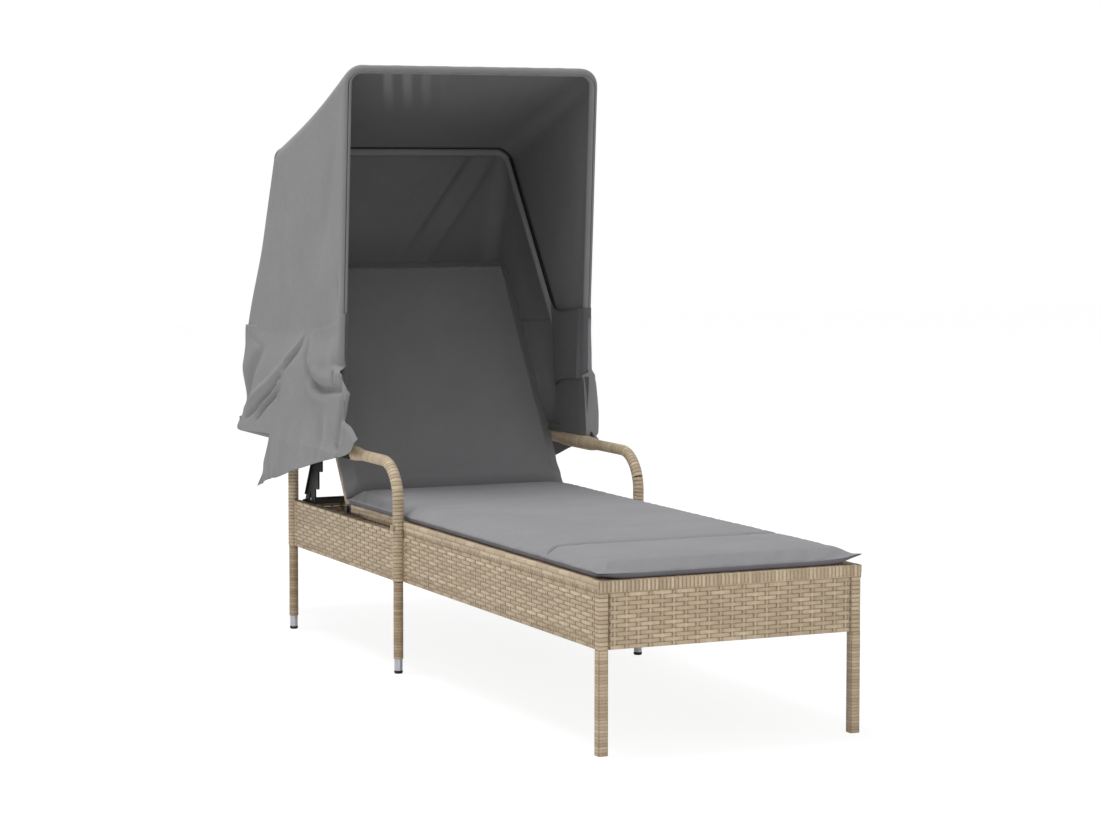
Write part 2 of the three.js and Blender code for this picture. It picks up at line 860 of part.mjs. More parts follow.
// Notched racks on the inner faces of the rear side panels, under the path of the foot pins
function buildRack(name, side) {
  const slope = Math.tan(radians(propTilt / 2));
  const tipAt = (y) => propFootZ - propFootDiameter / 2 - rackFootGap - slope * (y - propFootY);
  const notchRadius = propFootDiameter / 2 + rackFootGap;
  const pitch = rackLength / rackNotchCount;
  const rearY = rearLegY - armrestRadius - fitGap;
  const frontY = rearY - rackLength;
  const points = [
    [frontY, tipAt(frontY) - rackDepth],
    [rearY, tipAt(rearY) - rackDepth],
    [rearY, tipAt(rearY)],
  ];
  for (let i = 0; i < rackNotchCount; i += 1) {
    const y = propFootY - pitch * i;
    const floor = tipAt(y) - rackNotchDepth;
    points.push([y + notchRadius, tipAt(y + notchRadius)]);
    points.push(...arcPoints(y, floor + notchRadius, notchRadius, 0, -Math.PI / 2, bendSteps / 2));
    points.push([y - pitch * rackRampShare, tipAt(y - pitch * rackRampShare)]);
  }
  points.push([frontY, tipAt(frontY)]);
  const shape = outline(points);
  for (const share of rackHoleShares) {
    const y = rearY - rackLength * share;
    const hole = arcPoints(y, tipAt(y) - rackDepth / 2, rackHoleDiameter / 2, 0, -2 * Math.PI, smallSides);
    shape.holes.push(outline(hole.slice(1)));
  }
  const outerX = rearPanelInnerX - fitGap;
  addPiece(`rack_${name}`, plateAcross(shape, side * (outerX - rackThickness), side * outerX), blackSteel);
}

// Canopy frame: directions in the plane of a hoop that turns about the pivots
const hoopRadius = hoopDiameter / 2;
const frontHoop = { axisX: frontHoopAxisX, angle: radians(frontHoopAngle), reach: frontHoopReach };
const midHoop = { axisX: midHoopAxisX, angle: radians(midHoopAngle), reach: midHoopReach };

function onHoop(hoop, x, reach) {
  return new THREE.Vector3(
    x,
    pivotY + reach * Math.cos(hoop.angle),
    pivotZ + reach * Math.sin(hoop.angle),
  );
}

function buildHoop(name, hoop) {
  const start = bladeLength + fitGap;
  const path = new BentPath([
    onHoop(hoop, -hoop.axisX, start),
    onHoop(hoop, -hoop.axisX, hoop.reach),
    onHoop(hoop, hoop.axisX, hoop.reach),
    onHoop(hoop, hoop.axisX, start),
  ], hoopCorner);
  addPiece(`${name}_hoop`, sweptTube(path, hoopDiameter, hoopWall), blackSteel);
}

// The flat end of a hoop: a strap with the pivot's hole, a collar, and a plug inside the tube
function buildBlade(name, sideName, side, hoop, layerX) {
  const half = bladeWidth / 2;
  const holeRadius = pivotDiameter / 2 + boltClearance;
  const strap = new THREE.Shape();
  strap.moveTo(bladeLength, -half);
  strap.lineTo(bladeLength, half);
  strap.lineTo(0, half);
  strap.absarc(0, 0, half, Math.PI / 2, -Math.PI / 2, false);
  strap.closePath();
  const hole = new THREE.Path();
  hole.absarc(0, 0, holeRadius, 0, 2 * Math.PI, true);
  strap.holes.push(hole);
  const plate = plateAcross(strap, side * layerX, side * (layerX + bladeThickness));
  const collar = new THREE.CylinderGeometry(hoopRadius, hoopRadius, bladeOverlap, tubeSides);
  collar.translate(side * hoop.axisX, bladeLength - bladeOverlap / 2, 0);
  const plugRadius = hoopRadius - hoopWall - fitGap;
  const plug = new THREE.CylinderGeometry(plugRadius, plugRadius, bladePlugLength + bladeOverlap, tubeSides);
  plug.translate(side * hoop.axisX, bladeLength + (bladePlugLength - bladeOverlap) / 2, 0);
  const blade = joined(plate, collar, plug);
  blade.rotateX(hoop.angle);
  blade.translate(0, pivotY, pivotZ);
  addPiece(`${name}_hoop_end_${sideName}`, blade, blackSteel);
}

// Canopy bracket: an upright plate clamped to the armrest, with a spigot for the rear hoop
const canopyPlateX = armrestOuterX + fitGap;
const frontBladeX = canopyPlateX - fitGap - bladeThickness;
const midBladeX = frontBladeX - fitGap - bladeThickness;
const armrestZ = armrestTop - armrestRadius;
const bracketHalf = (canopyClampPitch + canopyClampWidth) / 2;
const rearHoopFrontY = pivotY + bracketHalf + fitGap;

function buildCanopyBracket(name, side) {
  const tipRadius = bladeWidth * bracketTipShare;
  const shape = new THREE.Shape();
  shape.moveTo(pivotY - bracketHalf, armrestZ - armrestRadius);
  shape.lineTo(pivotY + bracketHalf, armrestZ - armrestRadius);
  shape.lineTo(pivotY + bracketHalf, armrestZ + armrestRadius);
  shape.quadraticCurveTo(pivotY + canopyPlateWidth / 2, armrestZ + armrestRadius + canopyPlateWidth / 2,
    pivotY + tipRadius, pivotZ);
  shape.absarc(pivotY, pivotZ, tipRadius, 0, Math.PI, false);
  shape.quadraticCurveTo(pivotY - canopyPlateWidth / 2, armrestZ + armrestRadius + canopyPlateWidth / 2,
    pivotY - bracketHalf, armrestZ + armrestRadius);
  shape.closePath();
  const hole = new THREE.Path();
  hole.absarc(pivotY, pivotZ, pivotDiameter / 2 + boltClearance, 0, 2 * Math.PI, true);
  shape.holes.push(hole);
  const parts = [plateAcross(shape, side * canopyPlateX, side * (canopyPlateX + canopyPlateThickness))];
  for (const end of [-1, 1]) {
    const ring = circleShape(armrestRadius + fitGap + canopyClampWall, roundSides * 2);
    ring.holes.push(circleShape(armrestRadius + fitGap, roundSides * 2));
    const middle = pivotY + end * canopyClampPitch / 2;
    const clamp = barAlong(ring, middle - canopyClampWidth / 2, middle + canopyClampWidth / 2);
    clamp.translate(side * armrestAxisX, 0, armrestZ);
    parts.push(clamp);
  }
  const spigot = barAlong(
    circleShape(hoopRadius - hoopWall - fitGap, tubeSides),
    pivotY + bracketHalf - spigotReach,
    pivotY + bracketHalf + spigotLength,
  );
  spigot.translate(side * rearHoopAxisX, 0, rearHoopZ);
  parts.push(spigot);
  addPiece(`canopy_bracket_${name}`, joined(...parts), blackSteel);

  const headX = canopyPlateX + canopyPlateThickness + fitGap;
  const nutX = midBladeX - fitGap;
  const nut = rodAcross(boltHeadDiameter / 2, side * nutX, side * (nutX - boltHeadHeight), pivotY, pivotZ);
  const bolt = headedBolt(side, nutX - boltHeadHeight / 2, headX, pivotY, pivotZ);
  addPiece(`canopy_pivot_${name}`, joined(bolt, nut), silverSteel);
}

function buildRearHoop() {
  const path = new BentPath([
    new THREE.Vector3(-rearHoopAxisX, rearHoopFrontY, rearHoopZ),
    new THREE.Vector3(-rearHoopAxisX, rearHoopY, rearHoopZ),
    new THREE.Vector3(rearHoopAxisX, rearHoopY, rearHoopZ),
    new THREE.Vector3(rearHoopAxisX, rearHoopFrontY, rearHoopZ),
  ], hoopCorner);
  addPiece('rear_hoop', sweptTube(path, hoopDiameter, hoopWall), blackSteel);
}

// Stations round a hoop for the cloth that passes over it: up one leg, round the bar, down the other
function hoopStations(axisX, start, reach, place) {
  const sideX = axisX + clothOffset;
  const top = reach + clothOffset;
  const bend = hoopCorner + clothOffset;
  const half = [];
  for (let i = 0; i < legStations; i += 1) {
    half.push([sideX, start + (top - bend - start) * i / legStations]);
  }
  for (let i = 0; i < cornerStations; i += 1) {
    const turn = Math.PI / 2 * i / cornerStations;
    half.push([sideX - bend + bend * Math.cos(turn), top - bend + bend * Math.sin(turn)]);
  }
  for (let i = 0; i <= barStations; i += 1) {
    half.push([(sideX - bend) * (1 - i / barStations), top]);
  }
  const mirrored = half.slice(0, -1).reverse().map(([x, s]) => [-x, s]);
  return half.concat(mirrored).map(([x, s]) => place(x, s));
}

// Cloth stretched between two lines of stations, sagging a little inward with soft folds
function stretchedCloth(fromLine, toLine, startShift, endShift, foldCount) {
  const rows = [];
  for (let i = 0; i <= clothRows; i += 1) {
    const row = fromLine.map((from, j) => {
      const to = toLine[j];
      const span = to.clone().sub(from);
      const length = span.length();
      const share = (startShift + (length - startShift - endShift) * i / clothRows) / length;
      const point = from.clone().addScaledVector(span, share);
      const slack = Math.sin(Math.PI * THREE.MathUtils.clamp(share, 0, 1));
      const sideways = Math.min(1, Math.abs(from.x) / frontHoopAxisX) ** 4;
      const wave = Math.sin(Math.PI * foldCount * j / (fromLine.length - 1) + share * Math.PI);
      const depth = slack * (clothSag + clothFold * wave) * Math.min(1, length / frontHoopReach);
      point.x -= Math.sign(from.x) * depth * sideways;
      point.z -= depth * (1 - sideways);
      return point;
    });
    rows.push(row);
  }
  return rows;
}

function buildCanopyCloth() {
  const frontLine = hoopStations(frontHoop.axisX, clothStart, frontHoop.reach, (x, s) => onHoop(frontHoop, x, s));
  const midLine = hoopStations(midHoop.axisX, clothStart, midHoop.reach, (x, s) => onHoop(midHoop, x, s));
  const rearLine = hoopStations(
    rearHoopAxisX,
    backClothStart,
    rearHoopY - pivotY,
    (x, s) => new THREE.Vector3(x, pivotY + s, rearHoopZ),
  );
  const top = stretchedCloth(frontLine, midLine, -clothFrontWrap, clothSeam, topFolds);
  addPiece('canopy_top', clothSolid(top, clothThickness), canopyCloth);
  const back = stretchedCloth(midLine, rearLine, clothSeam, -clothRearWrap, backFolds);
  addPiece('canopy_back', clothSolid(back, clothThickness), canopyCloth);
}

// Side skirts: loose cloth that hangs from the hood's sides over the armrests
function skirtHem(name) {
  return new THREE.SplineCurve([
    new THREE.Vector2(...skirtTips[name]),
    new THREE.Vector2(skirtHemArmY, skirtHemArm),
    new THREE.Vector2((skirtHemArmY + skirtHemLowY) / 2, (skirtHemArm + skirtHemLow) / 2),
    new THREE.Vector2(skirtHemLowY, skirtHemLow),
  ]);
}

// How far out the hood's side lies at a height and a place along the lounger, round its rear corner too
function hoodSide(y, z) {
  const lift = Math.max(z, rearHoopZ);
  const beyondMid = (y - pivotY) * Math.sin(midHoop.angle) - (lift - pivotZ) * Math.cos(midHoop.angle);
  if (beyondMid < 0) {
    const beyondFront = (y - pivotY) * Math.sin(frontHoop.angle) - (lift - pivotZ) * Math.cos(frontHoop.angle);
    const share = THREE.MathUtils.clamp(beyondFront / (beyondFront - beyondMid), 0, 1);
    return THREE.MathUtils.lerp(frontHoop.axisX, midHoop.axisX, share) + clothOffset;
  }
  const share = beyondMid / (beyondMid + lift - rearHoopZ);
  const bend = hoopCorner + clothOffset;
  const midCornerY = onHoop(midHoop, 0, midHoop.reach - hoopCorner).y;
  const cornerY = THREE.MathUtils.lerp(midCornerY, rearHoopY - hoopCorner, share);
  const past = THREE.MathUtils.clamp(y - cornerY, 0, bend * skirtCornerShare);
  const sideX = THREE.MathUtils.lerp(midHoop.axisX, rearHoopAxisX, share) + clothOffset;
  return sideX - bend + Math.sqrt(bend * bend - past * past);
}

function skirtX(y, z, drop) {
  const flare = skirtFlare * Math.max(0, rearHoopZ - z) / (rearHoopZ - skirtHemLow);
  const offset = THREE.MathUtils.lerp(skirtSeamOffset, skirtOffset, Math.min(1, drop / skirtSeamShare));
  return hoodSide(y, z) + offset + flare;
}

function buildSkirt(name, side) {
  const hem = skirtHem(name);
  const ends = [];
  for (let j = 0; j <= skirtColumns; j += 1) ends.push(hem.getPoint(j / skirtColumns));
  ends.push(new THREE.Vector2(skirtHemStepY, skirtHemRear));
  ends.push(new THREE.Vector2(rearHoopY - hoopCorner, skirtHemRear));
  ends.push(new THREE.Vector2(rearHoopY - hoopCorner * (1 - skirtCornerShare / 2), skirtHemRear));
  ends.push(new THREE.Vector2(skirtRearY, skirtHemRear));
  const reach = skirtRearY - skirtFrontY;
  const rearTopY = THREE.MathUtils.lerp(
    rearHoopY,
    onHoop(midHoop, 0, midHoop.reach).y,
    (skirtTopRear - rearHoopZ) / (onHoop(midHoop, 0, midHoop.reach).z - rearHoopZ),
  );
  const grid = [];
  for (let i = 0; i <= skirtRows; i += 1) {
    const drop = i / skirtRows;
    grid.push(ends.map((end, j) => {
      const share = (THREE.MathUtils.clamp(end.x, skirtFrontY, skirtRearY) - skirtFrontY) / reach;
      const topY = THREE.MathUtils.lerp(skirtFrontY, rearTopY, share);
      const topZ = THREE.MathUtils.lerp(skirtTopFront, skirtTopRear, share);
      const y = THREE.MathUtils.lerp(topY, end.x, drop);
      const z = THREE.MathUtils.lerp(topZ, end.y, drop);
      const fold = skirtFold * (1 + Math.sin(Math.PI * (j * skirtFoldShare + drop))) * Math.sin(Math.PI * drop);
      return new THREE.Vector3(side * (skirtX(y, z, drop) + fold), y, z);
    }));
  }
  if (side < 0) grid.forEach((row) => row.reverse());
  addPiece(`canopy_skirt_${name}`, clothSolid(grid, clothThickness), canopyCloth);
}

// A boxed cushion: crowned, drawn in along its edges, with sewn seams across and a mitred fold end
function cushionSolid({ start, end, base, seams }) {
  const geometry = new THREE.BoxGeometry(1, 1, 1, cushionColumns, cushionRows, cushionLayers);
  geometry.deleteAttribute('normal');
  geometry.deleteAttribute('uv');
  const body = mergeVertices(geometry);
  const position = body.attributes.position;
  for (let i = 0; i < position.count; i += 1) {
    const a = position.getX(i) * 2;
    const b = position.getY(i) + 1 / 2;
    const c = position.getZ(i) * 2;
    const y0 = start(base);
    const y1 = end(base);
    const place = y0 + (y1 - y0) * b;
    const crown = (1 - Math.abs(a) ** 6) * (1 - Math.abs(2 * b - 1) ** 16);
    const seam = seams.reduce((sum, at) => sum + Math.exp(-(((place - at) / cushionSeamWidth) ** 2)), 0);
    const height = cushionEdge + (cushionThickness - cushionEdge) * crown - cushionSeamDepth * seam * crown;
    const z = base + height * (c + 1) / 2;
    const drawn = cushionDrawIn * c * c;
    const sideDraw = Math.abs(a) > 1 - 1 / cushionColumns ? drawn : 0;
    const endDraw = Math.abs(2 * b - 1) > 1 - 1 / cushionRows ? drawn : 0;
    const x = a * cushionWidth / 2 - Math.sign(a) * sideDraw;
    const yStart = start(z) + endDraw;
    const yEnd = end(z) - endDraw;
    position.setXYZ(i, x, yStart + (yEnd - yStart) * b, z);
  }
  body.computeVertexNormals();
  return body;
}

function buildCushions() {
  const slope = Math.tan(radians(maxBackAngle) / 2);
  addPiece('seat_cushion', cushionSolid({
    start: () => cushionFront,
    end: (z) => backHingeY - slope * (z - backHingeZ) - cushionFoldGap,
    base: deckHeight + fitGap,
    seams: [cushionSeamY],
  }), cushionCloth);
  addPiece('back_cushion', leanBack(cushionSolid({
    start: (height) => slope * height + cushionFoldGap,
    end: () => backCushionLength,
    base: backRailHeight / 2 + fitGap,
    seams: [],
  })), cushionCloth);
}

buildSeatFrame();
buildEndPanels();
for (const [name, side] of Object.entries(sides)) {
  buildFrontLeg(name, side);
  buildSidePanels(name, side);
  buildArmrest(name, side);
  buildFrameBolt(name, side);
  buildLowerLeg(`mid_${name}`, side, midLegY);
  buildLowerLeg(`rear_${name}`, side, rearLegY);
  buildRack(name, side);
  buildBackHinge(name, side);
  buildPropArm(name, side);
  buildCanopyBracket(name, side);
  buildBlade('front', name, side, frontHoop, frontBladeX);
  buildBlade('mid', name, side, midHoop, midBladeX);
  buildSkirt(name, side);
}
buildBackrest();
buildPropTube();
buildRearHoop();
buildHoop('front', frontHoop);
buildHoop('mid', midHoop);
buildCanopyCloth();
buildCushions();

// The origin is the middle of the outline, on the floor
const extent = new THREE.Box3().setFromObject(lounger);
lounger.position.y = -(extent.min.y + extent.max.y) / 2;

export default lounger;
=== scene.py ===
"""Looks of a woven sun lounger with a reclining cushioned back and a folding cloth hood.

Places are in millimetres, X across, Y from the face of the foot end towards the head, Z up from
the floor, and at() turns them into the frame's metres.
"""

import math

import bmesh
import bpy
from mathutils import Matrix, Vector


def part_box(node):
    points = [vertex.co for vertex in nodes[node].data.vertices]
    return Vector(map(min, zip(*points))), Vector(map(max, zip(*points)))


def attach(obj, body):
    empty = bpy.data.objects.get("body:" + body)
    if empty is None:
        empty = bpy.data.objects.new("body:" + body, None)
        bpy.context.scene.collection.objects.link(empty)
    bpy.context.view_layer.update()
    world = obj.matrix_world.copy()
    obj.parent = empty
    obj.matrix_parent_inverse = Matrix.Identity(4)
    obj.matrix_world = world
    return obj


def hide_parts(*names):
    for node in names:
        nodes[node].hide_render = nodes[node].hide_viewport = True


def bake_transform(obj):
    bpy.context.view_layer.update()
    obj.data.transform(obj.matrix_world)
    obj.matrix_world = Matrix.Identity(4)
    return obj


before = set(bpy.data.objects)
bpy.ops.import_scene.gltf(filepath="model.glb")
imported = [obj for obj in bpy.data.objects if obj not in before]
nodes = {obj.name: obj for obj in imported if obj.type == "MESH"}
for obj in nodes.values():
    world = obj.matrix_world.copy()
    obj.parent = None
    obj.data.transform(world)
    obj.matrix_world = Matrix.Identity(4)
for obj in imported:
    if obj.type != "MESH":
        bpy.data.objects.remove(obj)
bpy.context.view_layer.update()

SIDES = {"left": -1, "right": 1}
FOOT_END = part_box("seat_frame")[0][1]
RIGHT = Vector((1, 0, 0))
HEADWARDS = Vector((0, 1, 0))
UP = Vector((0, 0, 1))


def at(x, y, z):
    return Vector((x / 1000, FOOT_END + y / 1000, z / 1000))


def mix(a, b, share):
    return a + (b - a) * share


def clamp(value, low=0.0, high=1.0):
    return max(low, min(high, value))


def smooth(value):
    t = clamp(value)
    return t * t * (3 - 2 * t)


def bell(value, width):
    return math.exp(-((value / width) ** 2))


def pick(*keys):
    """A number from 0 to 1 that looks random and is the same for the same keys."""
    total = sum(key * factor for key, factor in zip(keys, (12.9898, 78.233, 37.719, 9.151)))
    return math.sin(total + 4.1) * 43758.5453 % 1


def curve(value, points):
    """The height at a value of a line through points, eased between them."""
    if value <= points[0][0]:
        return points[0][1]
    for (a, low), (b, high) in zip(points, points[1:]):
        if value <= b:
            return mix(low, high, smooth((value - a) / (b - a)))
    return points[-1][1]


def colour(red, green, blue):
    """A colour as a screen shows it, 0 to 255, turned into the light that it stands for."""
    parts = [c / 255 for c in (red, green, blue)]
    return tuple(c / 12.92 if c <= 0.04045 else ((c + 0.055) / 1.055) ** 2.4 for c in parts) + (1.0,)


def shaded(shade, factor):
    return tuple(min(1.0, c * factor) for c in shade[:3]) + (1.0,)


# Camera, lamps, world and floor

EYE = (-2779.6, -5113.4, 1176.1)
EYE_TURN = (86.2987, -0.0858, -24.7921)
FOCAL, SENSOR, SHIFT_X, SHIFT_Y = 94.997, 36.0, 0.0042, -0.0569


def make_camera():
    """The camera that was fitted to the photograph's straight edges."""
    lens = bpy.data.cameras.new("photo_lens")
    lens.lens, lens.sensor_width = FOCAL, SENSOR
    lens.shift_x, lens.shift_y = SHIFT_X, SHIFT_Y
    lens.clip_start, lens.clip_end = 0.1, 60
    camera = bpy.data.objects.new("photo_camera", lens)
    camera.location = at(*EYE)
    camera.rotation_euler = [math.radians(a) for a in EYE_TURN]
    bpy.context.scene.collection.objects.link(camera)
    bpy.context.scene.camera = camera


def make_lamp(name, place, aim, size, power, spread=180):
    lamp = bpy.data.lights.new(name, "AREA")
    lamp.shape = "DISK"
    lamp.size = size
    lamp.energy = power
    lamp.spread = math.radians(spread)
    holder = bpy.data.objects.new(name, lamp)
    holder.location = place
    holder.rotation_euler = (Vector(aim) - Vector(place)).to_track_quat("-Z", "Y").to_euler()
    bpy.context.scene.collection.objects.link(holder)


# Finishes: values that flow through a material's nodes, with arithmetic

class Flow:
    def __init__(self, finish, socket):
        self.finish = finish
        self.socket = socket

    def maths(self, operation, *values):
        return self.finish.node("Math", {"operation": operation}, dict(enumerate(values)))

    def __add__(self, other):
        return self.maths("ADD", self, other)

    __radd__ = __add__

    def __sub__(self, other):
        return self.maths("SUBTRACT", self, other)

    def __rsub__(self, other):
        return self.maths("SUBTRACT", other, self)

    def __mul__(self, other):
        return self.maths("MULTIPLY", self, other)

    __rmul__ = __mul__

    def __truediv__(self, other):
        return self.maths("DIVIDE", self, other)

    def __pow__(self, other):
        return self.maths("POWER", self, other)

    def __abs__(self):
        return self.maths("ABSOLUTE", self)

    def floor(self):
        return self.maths("FLOOR", self)

    def part(self):
        return self.maths("FRACT", self)

    def wave(self):
        return self.maths("SINE", self)

    def larger(self, other):
        return self.maths("MAXIMUM", self, other)

    def smaller(self, other):
        return self.maths("MINIMUM", self, other)

    def ease(self, low, high):
        """0 below low and 1 above high, eased between them."""
        settings = {"interpolation_type": "SMOOTHSTEP"}
        return self.finish.node("MapRange", settings, {"Value": self, "From Min": low, "From Max": high})


class Finish:
    """The nodes of a material, or of the world."""

    def __init__(self, name, owner=bpy.data.materials):
        self.material = owner.new(name)
        self.material.use_nodes = True
        self.tree = self.material.node_tree
        self.tree.nodes.clear()

    def node(self, kind, settings=None, inputs=None, output=0):
        made = self.tree.nodes.new("ShaderNode" + kind)
        for key, value in (settings or {}).items():
            if key == "stops":
                ramp = made.color_ramp
                while len(ramp.elements) < len(value):
                    ramp.elements.new(0.5)
                for element, (place, shade) in zip(ramp.elements, value):
                    element.position = place
                    element.color = shade
            else:
                setattr(made, key, value)
        for key, value in (inputs or {}).items():
            if isinstance(value, Flow):
                self.tree.links.new(value.socket, made.inputs[key])
            else:
                made.inputs[key].default_value = value
        return Flow(self, made.outputs[output]) if len(made.outputs) else made

    def place(self):
        """Object coordinates, as one vector and as three values in millimetres."""
        spot = self.node("TexCoord", output="Object")
        parts = [self.node("SeparateXYZ", inputs={0: spot}, output=i) * 1000 for i in range(3)]
        return spot, parts

    def noise(self, spot, scale, detail=2.0, rough=0.5, stretch=None):
        if stretch:
            spot = self.node("Mapping", inputs={"Vector": spot, "Scale": stretch})
        return self.node("TexNoise", inputs={
            "Vector": spot, "Scale": scale, "Detail": detail, "Roughness": rough})

    def random(self, *values):
        key = self.node("CombineXYZ", inputs=dict(enumerate(values)))
        return self.node("TexWhiteNoise", {"noise_dimensions": "3D"}, {"Vector": key})

    def blend(self, share, first, second):
        return self.node("Mix", {"data_type": "RGBA"}, {0: share, 6: first, 7: second}, output=2)

    def ramp(self, value, *stops):
        return self.node("ValToRGB", {"stops": stops}, {0: value})

    def bump(self, height, distance, strength=1.0, under=None):
        inputs = {"Height": height, "Distance": distance, "Strength": strength}
        if under:
            inputs["Normal"] = under
        return self.node("Bump", inputs=inputs)

    def surface(self, **sockets):
        words = {key.replace("_", " ").title(): value for key, value in sockets.items()}
        shader = self.node("BsdfPrincipled", inputs=words)
        self.node("OutputMaterial", inputs={0: shader})
        return self.material


TAN_BRIGHT = colour(222, 203, 173)
TAN_LIGHT = colour(203, 184, 156)
TAN = colour(184, 164, 136)
TAN_BROWN = colour(158, 134, 106)
TAN_SHADE = colour(84, 66, 44)
WHITE = (1, 1, 1, 1)
FLOOR_LOW, FLOOR_HIGH = (0.9, 0.9, 0.9, 1), (0.92, 0.92, 0.92, 1)
FLOOR_GLOW, FLOOR_SHARE = 1.2, 0.72
# Spacing, first place and slant of the painted highlights on the gathers of the hood lining.
GATHER_HIGHLIGHT_PITCH, GATHER_HIGHLIGHT_START, GATHER_HIGHLIGHT_SLANT = 50.0, -238.0, 0.42


def tan_strand(finish, spot, tone, depth):
    """The colour of a plastic rattan strand: varied from strand to strand, grained, and darkened by its
    depth value as painted shade in its gaps.
    """
    grain = finish.noise(spot, 240, 3, 0.6)
    base = finish.ramp(tone, (0.0, TAN_BROWN), (0.3, TAN), (0.7, TAN_LIGHT), (1.0, TAN_BRIGHT))
    grained = finish.blend(grain.ease(0.38, 0.72) * 0.3, base, TAN_BROWN)
    return finish.blend(depth, TAN_SHADE, grained), grain


def make_strand():
    """Modelled strands: each vertex has the tone of its strand and how open it lies to the light."""
    finish = Finish("rattan_strand")
    spot = finish.place()[0]
    tone = finish.node("Attribute", {"attribute_name": "tone"}, output="Fac")
    depth = finish.node("Attribute", {"attribute_name": "depth"}, output="Fac")
    shade, grain = tan_strand(finish, spot, tone, depth)
    fine = finish.noise(spot, 1100, 2, 0.6)
    return finish.surface(base_color=shade, roughness=0.44 + grain * 0.24,
                          normal=finish.bump(grain + fine * 0.5, 0.0004, 0.5))


def make_wound(name, along, pitch):
    """Strand wound round a bar that carries no modelled strand: bands across the given direction."""
    finish = Finish(name)
    spot, parts = finish.place()
    run = (parts[along] + finish.noise(spot, 9, 1) * 1.5) / pitch
    across = abs(run.part() - 0.5) * 2
    tone = finish.random(run.floor(), 0, 0) * 0.7 + 0.15
    # The edges of each band are darkened as painted shade in the grooves between turns.
    shade, grain = tan_strand(finish, spot, tone, 1 - across.ease(0.72, 0.98) * 0.8)
    return finish.surface(base_color=shade, roughness=0.46 + grain * 0.24,
                          normal=finish.bump(1 - across ** 4 + grain * 0.06, 0.0012, 0.8))


def make_weave(name, along, rise, shade=1.0):
    """Plain weave of flat strands over stakes, for faces that lie behind the modelled strands; low places
    are darker and a shade below 1 darkens it all, as painted shade.
    """
    finish = Finish(name)
    spot, parts = finish.place()
    run = parts[along] / STAKE
    climb = parts[rise] / ROW
    row = climb.floor()
    over = ((run + row) * math.pi).wave()
    strand = (over * 0.5 + 0.5) * (1 - (abs(climb.part() - 0.5) * 2) ** 6)
    post = (0.5 - over * 0.5) * (1 - ((abs(run.part() - 0.5) * 2) / 0.3).smaller(1) ** 4)
    height = strand.larger(post)
    tone = finish.random(row, ((run + row) * 0.5).floor(), 0) * shade
    tint, grain = tan_strand(finish, spot, tone, height.ease(0.05, 0.5) * shade)
    return finish.surface(base_color=tint, roughness=0.5 + grain * 0.2,
                          normal=finish.bump(height + grain * 0.05, 0.0014, 0.8))


def make_steel(name, shade, metallic, roughness, wear):
    finish = Finish(name)
    spot = finish.place()[0]
    cloud = finish.noise(spot, 35, 4, 0.6)
    fine = finish.noise(spot, 900, 2, 0.5)
    tinted = finish.blend(cloud.ease(0.4, 0.75) * 0.5, shade, wear)
    return finish.surface(base_color=tinted, metallic=metallic, roughness=roughness + cloud * 0.12,
                          normal=finish.bump(fine, 0.0002, 0.35))


def make_rubber():
    finish = Finish("foot_rubber")
    spot = finish.place()[0]
    cloud = finish.noise(spot, 60, 3)
    shade = finish.blend(cloud, colour(18, 18, 18), colour(44, 43, 42))
    return finish.surface(base_color=shade, roughness=0.75 + cloud * 0.15,
                          normal=finish.bump(finish.noise(spot, 700, 2), 0.0003, 0.4))


def make_cloth(name, shade, relief=0.00025, blotch=0.04, creases=0.25, gather_highlights=False):
    """Woven outdoor cloth: crossed threads, an uneven tone, small creases, and painted highlights on gathers
    if asked.
    """
    finish = Finish(name)
    spot, parts = finish.place()
    weft = finish.noise(spot, 1, 1, 0.5, (1300, 60, 60))
    warp = finish.noise(spot, 1, 1, 0.5, (60, 500, 1300))
    threads = weft * 0.5 + warp * 0.5
    cloud = finish.noise(spot, 5, 4, 0.6)
    crease = finish.noise(spot, 14, 3, 0.55)
    tinted = finish.blend(cloud.ease(0.3, 0.7), shaded(shade, 1 - blotch), shaded(shade, 1 + blotch))
    # Painted highlights: pale slanted stripes just behind the hood's front bar, where gathers would catch
    # the light.
    if gather_highlights:
        y = parts[1] - FOOT_END * 1000
        x = parts[0] - (y - 1340) * GATHER_HIGHLIGHT_SLANT
        gather_highlight = (abs(((x - GATHER_HIGHLIGHT_START) / GATHER_HIGHLIGHT_PITCH).part() - 0.5) * 2).ease(0.7, 0.2)
        across = x.ease(-240, -225) * (1 - x.ease(-170, -40))
        near = y.ease(1325, 1350) * (1 - y.ease(1400, 1600)) * parts[2].ease(1200, 1260)
        tinted = finish.blend(gather_highlight * across * near * 0.6, tinted, shaded(shade, 1.9))
    woven = finish.blend(threads.ease(0.35, 0.65) * 0.14, tinted, shaded(shade, 0.6))
    soft = finish.bump(crease, 0.002, creases)
    return finish.surface(base_color=woven, roughness=0.86 + threads * 0.1,
                          normal=finish.bump(threads, relief, 0.5, soft))


def make_floor():
    """A pale floor just under the feet, mostly plain white to the camera, with a soft shadow."""
    finish = Finish("studio_floor")
    cloud = finish.noise(finish.place()[0], 1.5, 3)
    plain = finish.node("BsdfDiffuse", inputs={0: finish.blend(cloud, FLOOR_LOW, FLOOR_HIGH)})
    glow = finish.node("Emission", inputs={0: WHITE, 1: FLOOR_GLOW})
    rays = finish.node("LightPath", output="Is Camera Ray") * FLOOR_SHARE
    finish.node("OutputMaterial", inputs={0: finish.node("MixShader", inputs={0: rays, 1: plain, 2: glow})})
    bm = bmesh.new()
    bmesh.ops.create_grid(bm, x_segments=8, y_segments=8, size=14)
    bmesh.ops.translate(bm, verts=bm.verts, vec=(0, 0, -0.0006))
    finished("studio_floor", bm, finish.material)


